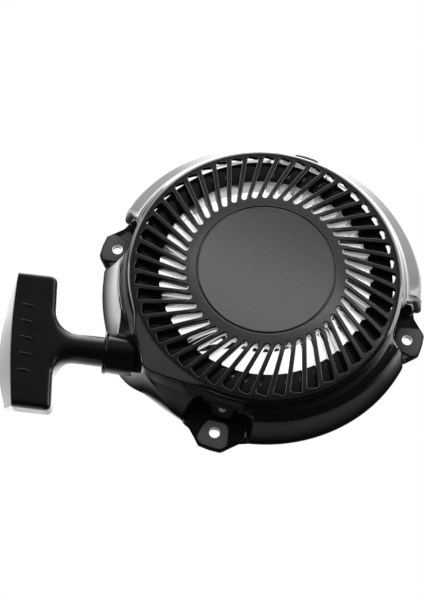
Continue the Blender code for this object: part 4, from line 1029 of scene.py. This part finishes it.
for k, a in enumerate(PAWL_ANG):
    p = pol(25.0, a)
    pin = turned("pawl_pin_%d" % (k + 1), [(0.0, 19.0), (2.5, 19.0), (2.5, 10.2, 0.5), (0.0, 10.2)], M_NYLON, segs=40, closed=False,
                 origin=(p[0], p[1], 0))
    finish_piece(pin, "pulley", ["pulley"])

# pawls
for k in range(2):
    p = pol(25.0, PAWL_ANG[k])[:2]
    tip = pol(33.0, PAWL_ANG[k] - 37.0)[:2]
    d = (tip - p) / np.linalg.norm(tip - p)
    n2 = np.array([-d[1], d[0]])
    if n2 @ p < 0:
        n2 = -n2
    ln = float(np.linalg.norm(tip - p))
    pts = []
    for i in range(25):
        t = math.radians(62.0 + 236.0 * i / 24)
        pts.append(p + d * (5.1 * math.cos(t)) + n2 * (5.1 * math.sin(t)))
    pts += [p + d * (ln * 0.55) - n2 * 2.3, p + d * (ln - 0.9) - n2 * 1.5, p + d * (ln - 0.1) - n2 * 0.2,
            p + d * (ln - 0.7) + n2 * 3.3, p + d * (ln * 0.55) + n2 * 3.5]
    area = sum(pts[i][0] * pts[(i + 1) % len(pts)][1] - pts[(i + 1) % len(pts)][0] * pts[i][1] for i in range(len(pts)))
    if area < 0:
        pts = pts[::-1]
    bm = bmesh.new()
    vs = [bm.verts.new((q[0] * MM, q[1] * MM, 9.95 * MM)) for q in pts]
    f = bm.faces.new(vs)
    ext = bmesh.ops.extrude_face_region(bm, geom=[f])
    bmesh.ops.translate(bm, vec=(0, 0, 3.6 * MM), verts=[g for g in ext["geom"] if isinstance(g, bmesh.types.BMVert)])
    bmesh.ops.recalc_face_normals(bm, faces=bm.faces[:])
    me = bpy.data.meshes.new("pawl_lever_%d" % (k + 1))
    bm.to_mesh(me)
    bm.free()
    pw = bpy.data.objects.new("pawl_lever_%d" % (k + 1), me)
    SCENE.collection.objects.link(pw)
    me.materials.append(M_PAWL)
    boolean(pw, cyl_cutter([((p[0], p[1], 5), (p[0], p[1], 18), 2.8)], 40))
    bv = pw.modifiers.new("edge", 'BEVEL')
    bv.width = 0.35 * MM
    bv.segments = 2
    bv.limit_method = 'ANGLE'
    bv.angle_limit = math.radians(40)
    apply_modifiers(pw)
    pw.data.shade_smooth()
    pw.data.set_sharp_from_angle(angle=math.radians(35))
    finish_piece(pw, "pawl_%d" % (k + 1), ["pawl_%d" % (k + 1)])
    q = p + d * 10.5
    peg = turned("pawl_peg_%d" % (k + 1), [(0.0, 12.0), (1.5, 12.0), (1.5, 7.4, 0.4), (0.0, 7.4)], M_PAWL, segs=32, closed=False, origin=(q[0], q[1], 0))
    finish_piece(peg, "pawl_%d" % (k + 1), ["pawl_%d" % (k + 1)])
    # return spring
    al = math.atan2(d[1], d[0])
    cp = []
    for i in range(121):
        a = al + math.pi / 2 + 2 * math.pi * 1.6 * i / 120
        cp.append(np.array([p[0] + 3.7 * math.cos(a), p[1] + 3.7 * math.sin(a), 14.15 + 0.85 * i / 120]))
    first = cp[0]
    cp = [first + np.array([d[0], d[1], 0]) * 7.0 * f for f in np.linspace(1, 0.05, 16)] + cp
    ps = tube("pawl_return_coil_%d" % (k + 1), cp, 0.24, M_BLUED, 10)
    finish_piece(ps, "pulley", ["pawl_spring_%d" % (k + 1)])

fr = []
for i in range(241):
    f = i / 240
    a = 2 * math.pi * 3.3 * f
    zc = interp(f, [(0.0, 10.25), (0.25, 10.4), (0.75, 16.2), (1.0, 16.4)])
    fr.append(np.array([10.8 * math.cos(a), 10.8 * math.sin(a), zc]))
fs = tube("friction_coil", fr, 0.45, M_BLUED, 12)
finish_piece(fs, "pulley", ["friction_spring"])

# guide plate stays the CAD solid, with bevelled edges and plated steel
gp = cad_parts["guide_plate"]
gp.data.materials.clear()
gp.data.materials.append(M_ZINC)
gb = gp.modifiers.new("edge", 'BEVEL')
gb.width = 0.22 * MM
gb.segments = 2
gb.limit_method = 'ANGLE'
gb.angle_limit = math.radians(40)

# ---------------------------------------------------------------- handle
GX0, GX1, GZ0, GZ1, GY, HALF_L, SHEAR = -157.0, -129.0, 12.0, 34.0, -61.0, 46.0, 0.105


def shear_obj(ob, x_from=-128.0, x_to=-118.0):
    for v in ob.data.vertices:
        y = v.co.y / MM
        x = v.co.x / MM
        f = 1.0 if x_from is None else smoothstep((x_to - x) / (x_to - x_from))
        v.co.x -= SHEAR * (y - GY) * MM * f


def remeshed(ob, voxel, smooth_iter, factor=0.5):
    rm = ob.modifiers.new("r", 'REMESH')
    rm.mode = 'VOXEL'
    rm.voxel_size = voxel * MM
    sm = ob.modifiers.new("s", 'SMOOTH')
    sm.factor = factor
    sm.iterations = smooth_iter
    apply_modifiers(ob)
    ob.data.shade_smooth()
    return ob


BODY_EDGE = ((-1.3, -4.6), (-1.0, -3.8), (-0.75, -2.6), (-0.5, -1.7), (-0.2, -0.9), (0.1, -0.7), (0.4, -1.0), (0.7, -1.8), (1.0, -2.7), (1.3, -3.9))
CAP_BULGE = ((-1.0, 2.9), (-0.8, 5.8), (-0.5, 8.4), (-0.2, 9.1), (0.1, 8.5), (0.4, 6.8), (0.7, 4.3), (1.0, 1.0))


def body_bow(y):
    return soft((y - GY) / HALF_L, BODY_EDGE, 0.12)


grip = rounded_box("t_grip", (GX1 - GX0 + 9.0, 2 * HALF_L, GZ1 - GZ0), M_GRIP, 4.2, 6,
                   Matrix.Translation(Vector(((GX0 + GX1 - 9.0) / 2, GY, (GZ0 + GZ1) / 2)) * MM))
stem = turned("stem_tmp", [(0.0, 0.0), (8.8, 0.0, 0.9), (9.75, 1.6, 0.8), (9.7, 24.0, 3.0), (9.9, 34.0, 3.0), (9.9, 50.0, 1.0), (0.0, 50.0)],
              M_GRIP, segs=72, closed=False)
stem.data.transform(Matrix.Rotation(math.radians(-90.0), 4, 'Y'))
stem.data.transform(Matrix.Translation(Vector((-91.6, GY, OUT_Z)) * MM))
boolean(grip, stem, 'UNION')
FLARE = 13.0
horn = Builder()
rings = []
for i in range(17):
    a = math.radians(90.0 * i / 16)
    x = GX1 + FLARE * (1.0 - math.sin(a))
    half_w = 9.75 + FLARE * (1.0 - math.cos(a))
    half_h = 9.75 + 0.9 * math.sin(a)
    ex = 1.0 - 0.55 * smoothstep(i / 16)
    ring = []
    for j in range(64):
        t = 2 * math.pi * j / 64
        c, s_ = math.cos(t), math.sin(t)
        ring.append(np.array([x, GY + half_w * math.copysign(abs(c) ** ex, c), OUT_Z + half_h * math.copysign(abs(s_) ** ex, s_)]))
    rings.append(ring)
rings.append([q + np.array([-6.0, 0, 0]) for q in rings[-1]])
horn.grid(rings, True, False)
horn.ngon(rings[0], flip=True)
horn.ngon(rings[-1])
boolean(grip, horn.object("flare", M_GRIP), 'UNION')
remeshed(grip, 0.7, 7)
bore = cyl_cutter([((-80.0, GY, OUT_Z), (-140.0, GY, OUT_Z), 2.6)], 32)
boolean(grip, bore)
side = Builder()
ys = np.linspace(-HALF_L - 8.0, HALF_L + 8.0, 60)
edge = [(GX0 - body_bow(GY + y), GY + y) for y in ys] + [(-180.0, GY + HALF_L + 8.0), (-180.0, GY - HALF_L - 8.0)]
side.grid([[(p[0], p[1], 5.0) for p in edge], [(p[0], p[1], 40.0) for p in edge]], True, False)
side.ngon([(p[0], p[1], 5.0) for p in edge], flip=True)
side.ngon([(p[0], p[1], 40.0) for p in edge])
boolean(grip, side.object("side", M_GRIP))
gbld = Builder()
cav = [(-134.6, -9.0), (-134.6, 9.0), (-170.0, 9.0), (-170.0, -9.0)][::-1]
gbld.grid([[(x, GY + y, 15.4) for x, y in cav], [(x, GY + y, 30.6) for x, y in cav]], True, False)
gbld.ngon([(x, GY + y, 15.4) for x, y in cav], flip=True)
gbld.ngon([(x, GY + y, 30.6) for x, y in cav])
boolean(grip, gbld.object("cav", M_GRIP))
def draft(ob):
    """The grip's ends lean inwards towards its underside."""
    for v in ob.data.vertices:
        if v.co.x < GX1 * MM:
            y, z = v.co.y / MM - GY, v.co.z / MM
            v.co.y = (GY + y * (1.0 - 0.055 * min(1.0, max(0.0, (GZ1 - z) / 22.0)) * smoothstep((abs(y) - 14.0) / 20.0))) * MM


draft(grip)
shear_obj(grip)
grip.data.shade_smooth()
grip.data.set_sharp_from_angle(angle=math.radians(50))
finish_piece(grip, "handle", ["handle_body"])

# grip cap: bowed strip with a stepped seam
cb = Builder()
rows = []
M_ = 64
for i in range(M_ + 1):
    f = -1.0 + 2.0 * i / M_
    y = GY + (HALF_L - 0.4) * f
    total = soft(f, CAP_BULGE, 0.1)
    x1 = GX0 - 0.2 - body_bow(y)
    x0 = GX0 - 0.25 - total
    bow = x1 - x0
    zin = 2.2 * abs(f) ** 12
    z0, zt = GZ0 + 1.2 + zin, GZ1 - 0.35 - zin
    drop = min(1.7 * bow, 13.0)
    prof = round_poly([(x1, (z0 + zt) / 2), (x1, zt), (x1 - 0.5, zt - 0.5), (x0 + 0.7, zt - drop), (x0 + 0.1, z0 + 2.6), (x0, z0), (x1, z0), (x1, (z0 + zt) / 2)],
                      [0, 0.15, 0.4, 1.6, 0.3, 0.5, 0.3, 0], [0, 4, 4, 6, 3, 4, 3, 0])[:-1]
    rows.append([np.array([px - SHEAR * (y - GY), y, pz]) for px, pz in prof])
cb.grid(rows, True, False)
cb.ngon(rows[0], flip=True)
cb.ngon(rows[-1])
cap = cb.object("grip_cap", M_GRIP_EDGE, 40.0)
for v in cap.data.vertices:
    y, z = v.co.y / MM - GY, v.co.z / MM
    v.co.y = (GY + y * (1.0 - 0.055 * min(1.0, max(0.0, (GZ1 - z) / 22.0)) * smoothstep((abs(y) - 14.0) / 20.0))) * MM
finish_piece(cap, "handle", ["handle_cap"])

# five plain raised bars where a hand finds the grip's face
for k in range(5):
    yy = GY + 22.0 - 11.0 * k
    xx = -147.0 - SHEAR * (yy - GY)
    bar = rounded_box("grip_bar_%d" % (k + 1), (7.0, 1.5, 0.9), M_GRIP_EDGE, 0.35, 3,
                      Matrix.Translation(Vector((xx, yy, GZ1 - 0.05)) * MM) @ Matrix.Rotation(math.radians(-6.0), 4, 'Z'))
    finish_piece(bar, "handle", ["handle_body"])

# ---------------------------------------------------------------- stage, light, camera
R = ((0.9933108466527447, 0.10607651234823152, 0.04562165549432673),
     (0.11547104365167722, -0.9124967347522689, -0.392448910234746),
     (0.0, 0.39509173946626974, -0.9186416697524216))
CAM = Vector((-32.34, -343.03, 783.81)) * MM
cam_data = bpy.data.cameras.new("camera")
cam_data.sensor_width = 36.0
cam_data.sensor_fit = 'AUTO'
cam_data.lens = 1259.8566 / 600.0 * 36.0
cam = bpy.data.objects.new("camera", cam_data)
SCENE.collection.objects.link(cam)
rot = Matrix(((R[0][0], -R[1][0], -R[2][0]), (R[0][1], -R[1][1], -R[2][1]), (R[0][2], -R[1][2], -R[2][2])))
cam.matrix_world = Matrix.Translation(CAM) @ rot.to_4x4()
SCENE.camera = cam
SCENE.view_settings.view_transform = 'Standard'
SCENE.view_settings.look = 'None'

fm = bpy.data.materials.new("pale_floor")
fm.use_nodes = True
nt = fm.node_tree
nt.nodes.clear()
out = nt.nodes.new("ShaderNodeOutputMaterial")
lp = nt.nodes.new("ShaderNodeLightPath")
em_cam = nt.nodes.new("ShaderNodeEmission")
em_cam.inputs[0].default_value = (1.0, 1.0, 1.0, 1)
em_cam.inputs[1].default_value = 1.0
em_ref = nt.nodes.new("ShaderNodeEmission")
geo = nt.nodes.new("ShaderNodeNewGeometry")
sepf = nt.nodes.new("ShaderNodeSeparateXYZ")
nt.links.new(geo.outputs["Position"], sepf.inputs[0])
ang = math_node(nt, 'ARCTAN2', sepf.outputs[1], sepf.outputs[0])
ang = math_node(nt, 'MODULO', math_node(nt, 'ADD', ang, 4 * math.pi + math.radians(80.0)), 2 * math.pi)
# azimuth counted from -80 degrees: dim in front, bright at the sides and behind
lo = ramp_node(nt, ang, math.radians(48.0), math.radians(88.0), 0.0, 1.0)
hi = ramp_node(nt, ang, math.radians(276.0), math.radians(322.0), 1.0, 0.0)
rad2 = math_node(nt, 'SQRT', math_node(nt, 'ADD', math_node(nt, 'MULTIPLY', sepf.outputs[0], sepf.outputs[0]),
                                       math_node(nt, 'MULTIPLY', sepf.outputs[1], sepf.outputs[1])))
side = math_node(nt, 'MULTIPLY', lo, hi)
# contact shade just outside the skirt's foot
cos2 = math_node(nt, 'COSINE', math_node(nt, 'MULTIPLY', math_node(nt, 'SUBTRACT', ang, math.radians(80.0)), 2.0))
foot = math_node(nt, 'SUBTRACT', rad2, math_node(nt, 'ADD', math_node(nt, 'MULTIPLY', cos2, 0.0017), 0.1066))
contact = ramp_node(nt, foot, 0.0010, 0.0180, 0.02, 1.0)
near_wall = math_node(nt, 'MULTIPLY', ramp_node(nt, foot, -0.018, -0.012, 0.0, 1.7), side)
inside = math_node(nt, 'MULTIPLY', ramp_node(nt, foot, -0.004, 0.0, 1.0, 0.0), math_node(nt, 'ADD', near_wall, 1.0))
far = ramp_node(nt, rad2, 0.20, 0.45, 1.0, 0.55)
outer = math_node(nt, 'MULTIPLY', math_node(nt, 'MULTIPLY', math_node(nt, 'MULTIPLY', side, contact), far), 3.9)
front = math_node(nt, 'MULTIPLY', ramp_node(nt, rad2, 0.112, 0.165, 0.24, 0.02), contact)
# around the grip, with its own contact shade and a little less light in front of its lower end
outer = math_node(nt, 'MULTIPLY', outer, ramp_node(nt, sepf.outputs[1], 0.02, 0.11, 1.0, 1.9))
hand = math_node(nt, 'MULTIPLY', ramp_node(nt, sepf.outputs[0], -0.108, -0.124, 0.0, 3.0), ramp_node(nt, sepf.outputs[0], -0.158, -0.164, 1.0, 0.05))
hand = math_node(nt, 'MULTIPLY', hand, ramp_node(nt, sepf.outputs[1], -0.098, -0.112, 1.0, 0.33))
hand = math_node(nt, 'ADD', hand, ramp_node(nt, sepf.outputs[0], -0.178, -0.200, 0.0, 3.1))
lvl = math_node(nt, 'ADD', math_node(nt, 'MAXIMUM', outer, math_node(nt, 'MULTIPLY', inside, 2.3)), front)
lvl = math_node(nt, 'MAXIMUM', lvl, hand)
nt.links.new(lvl, em_ref.inputs[1])
em_ref.inputs[0].default_value = (1, 1, 1, 1)
mixf = nt.nodes.new("ShaderNodeMixShader")
nt.links.new(lp.outputs["Is Camera Ray"], mixf.inputs[0])
nt.links.new(em_ref.outputs[0], mixf.inputs[1])
nt.links.new(em_cam.outputs[0], mixf.inputs[2])
clear = nt.nodes.new("ShaderNodeBsdfTransparent")
mixb = nt.nodes.new("ShaderNodeMixShader")
nt.links.new(math_node(nt, 'MULTIPLY', geo.outputs["Backfacing"], lp.outputs["Is Camera Ray"]), mixb.inputs[0])
nt.links.new(mixf.outputs[0], mixb.inputs[1])
nt.links.new(clear.outputs[0], mixb.inputs[2])
nt.links.new(mixb.outputs[0], out.inputs[0])
bm = bmesh.new()
bmesh.ops.create_grid(bm, x_segments=1, y_segments=1, size=6.0)
fme = bpy.data.meshes.new("floor")
bm.to_mesh(fme)
bm.free()
floor = bpy.data.objects.new("floor", fme)
floor.location = (0, 0, -0.0006)
SCENE.collection.objects.link(floor)
fme.materials.append(fm)

w = bpy.data.worlds.new("studio")
SCENE.world = w
w.use_nodes = True
wn_ = w.node_tree
bg = wn_.nodes["Background"]
tcw = wn_.nodes.new("ShaderNodeTexCoord")
sw = wn_.nodes.new("ShaderNodeSeparateXYZ")
wn_.links.new(tcw.outputs["Generated"], sw.inputs[0])
back = ramp_node(wn_, sw.outputs[1], -0.1, 0.60, 0.03, 4.4)
topw = ramp_node(wn_, sw.outputs[2], 0.20, 0.62, 1.0, 0.06)
lpw = wn_.nodes.new("ShaderNodeLightPath")
st = math_node(wn_, 'MULTIPLY', back, topw)
mw = wn_.nodes.new("ShaderNodeMix")
wn_.links.new(lpw.outputs["Is Camera Ray"], mw.inputs[0])
wn_.links.new(st, mw.inputs[2])
mw.inputs[3].default_value = 1.0
wn_.links.new(mw.outputs[0], bg.inputs[1])
bg.inputs[0].default_value = (1, 1, 1, 1)


def area(name, loc, target, size, power, sy=None):
    ld = bpy.data.lights.new(name, 'AREA')
    ld.shape = 'RECTANGLE'
    ld.size = size
    ld.size_y = sy or size
    ld.energy = power
    ob = bpy.data.objects.new(name, ld)
    ob.location = loc
    d = Vector(target) - Vector(loc)
    ob.rotation_euler = d.to_track_quat('-Z', 'Y').to_euler()
    SCENE.collection.objects.link(ob)
    return ob


band = area("disc_band", (0.20, 0.562, 1.50), (0, 0, 0.04), 1.1, 2.2, 0.05)
lit = bpy.data.collections.new("band_lit")
lit.objects.link(housing)
band.light_linking.receiver_collection = lit

top = area("soft_top", (-0.1, -0.25, 1.60), (0, 0, 0.03), 1.3, 15.0)
top.visible_glossy = False
top.visible_camera = False
area("soft_left", (-1.5, 0.25, 0.35), (0, 0, 0.03), 0.6, 7.0, 0.7)
area("soft_right", (1.5, 0.35, 0.35), (0, 0, 0.03), 0.6, 7.0, 0.7)
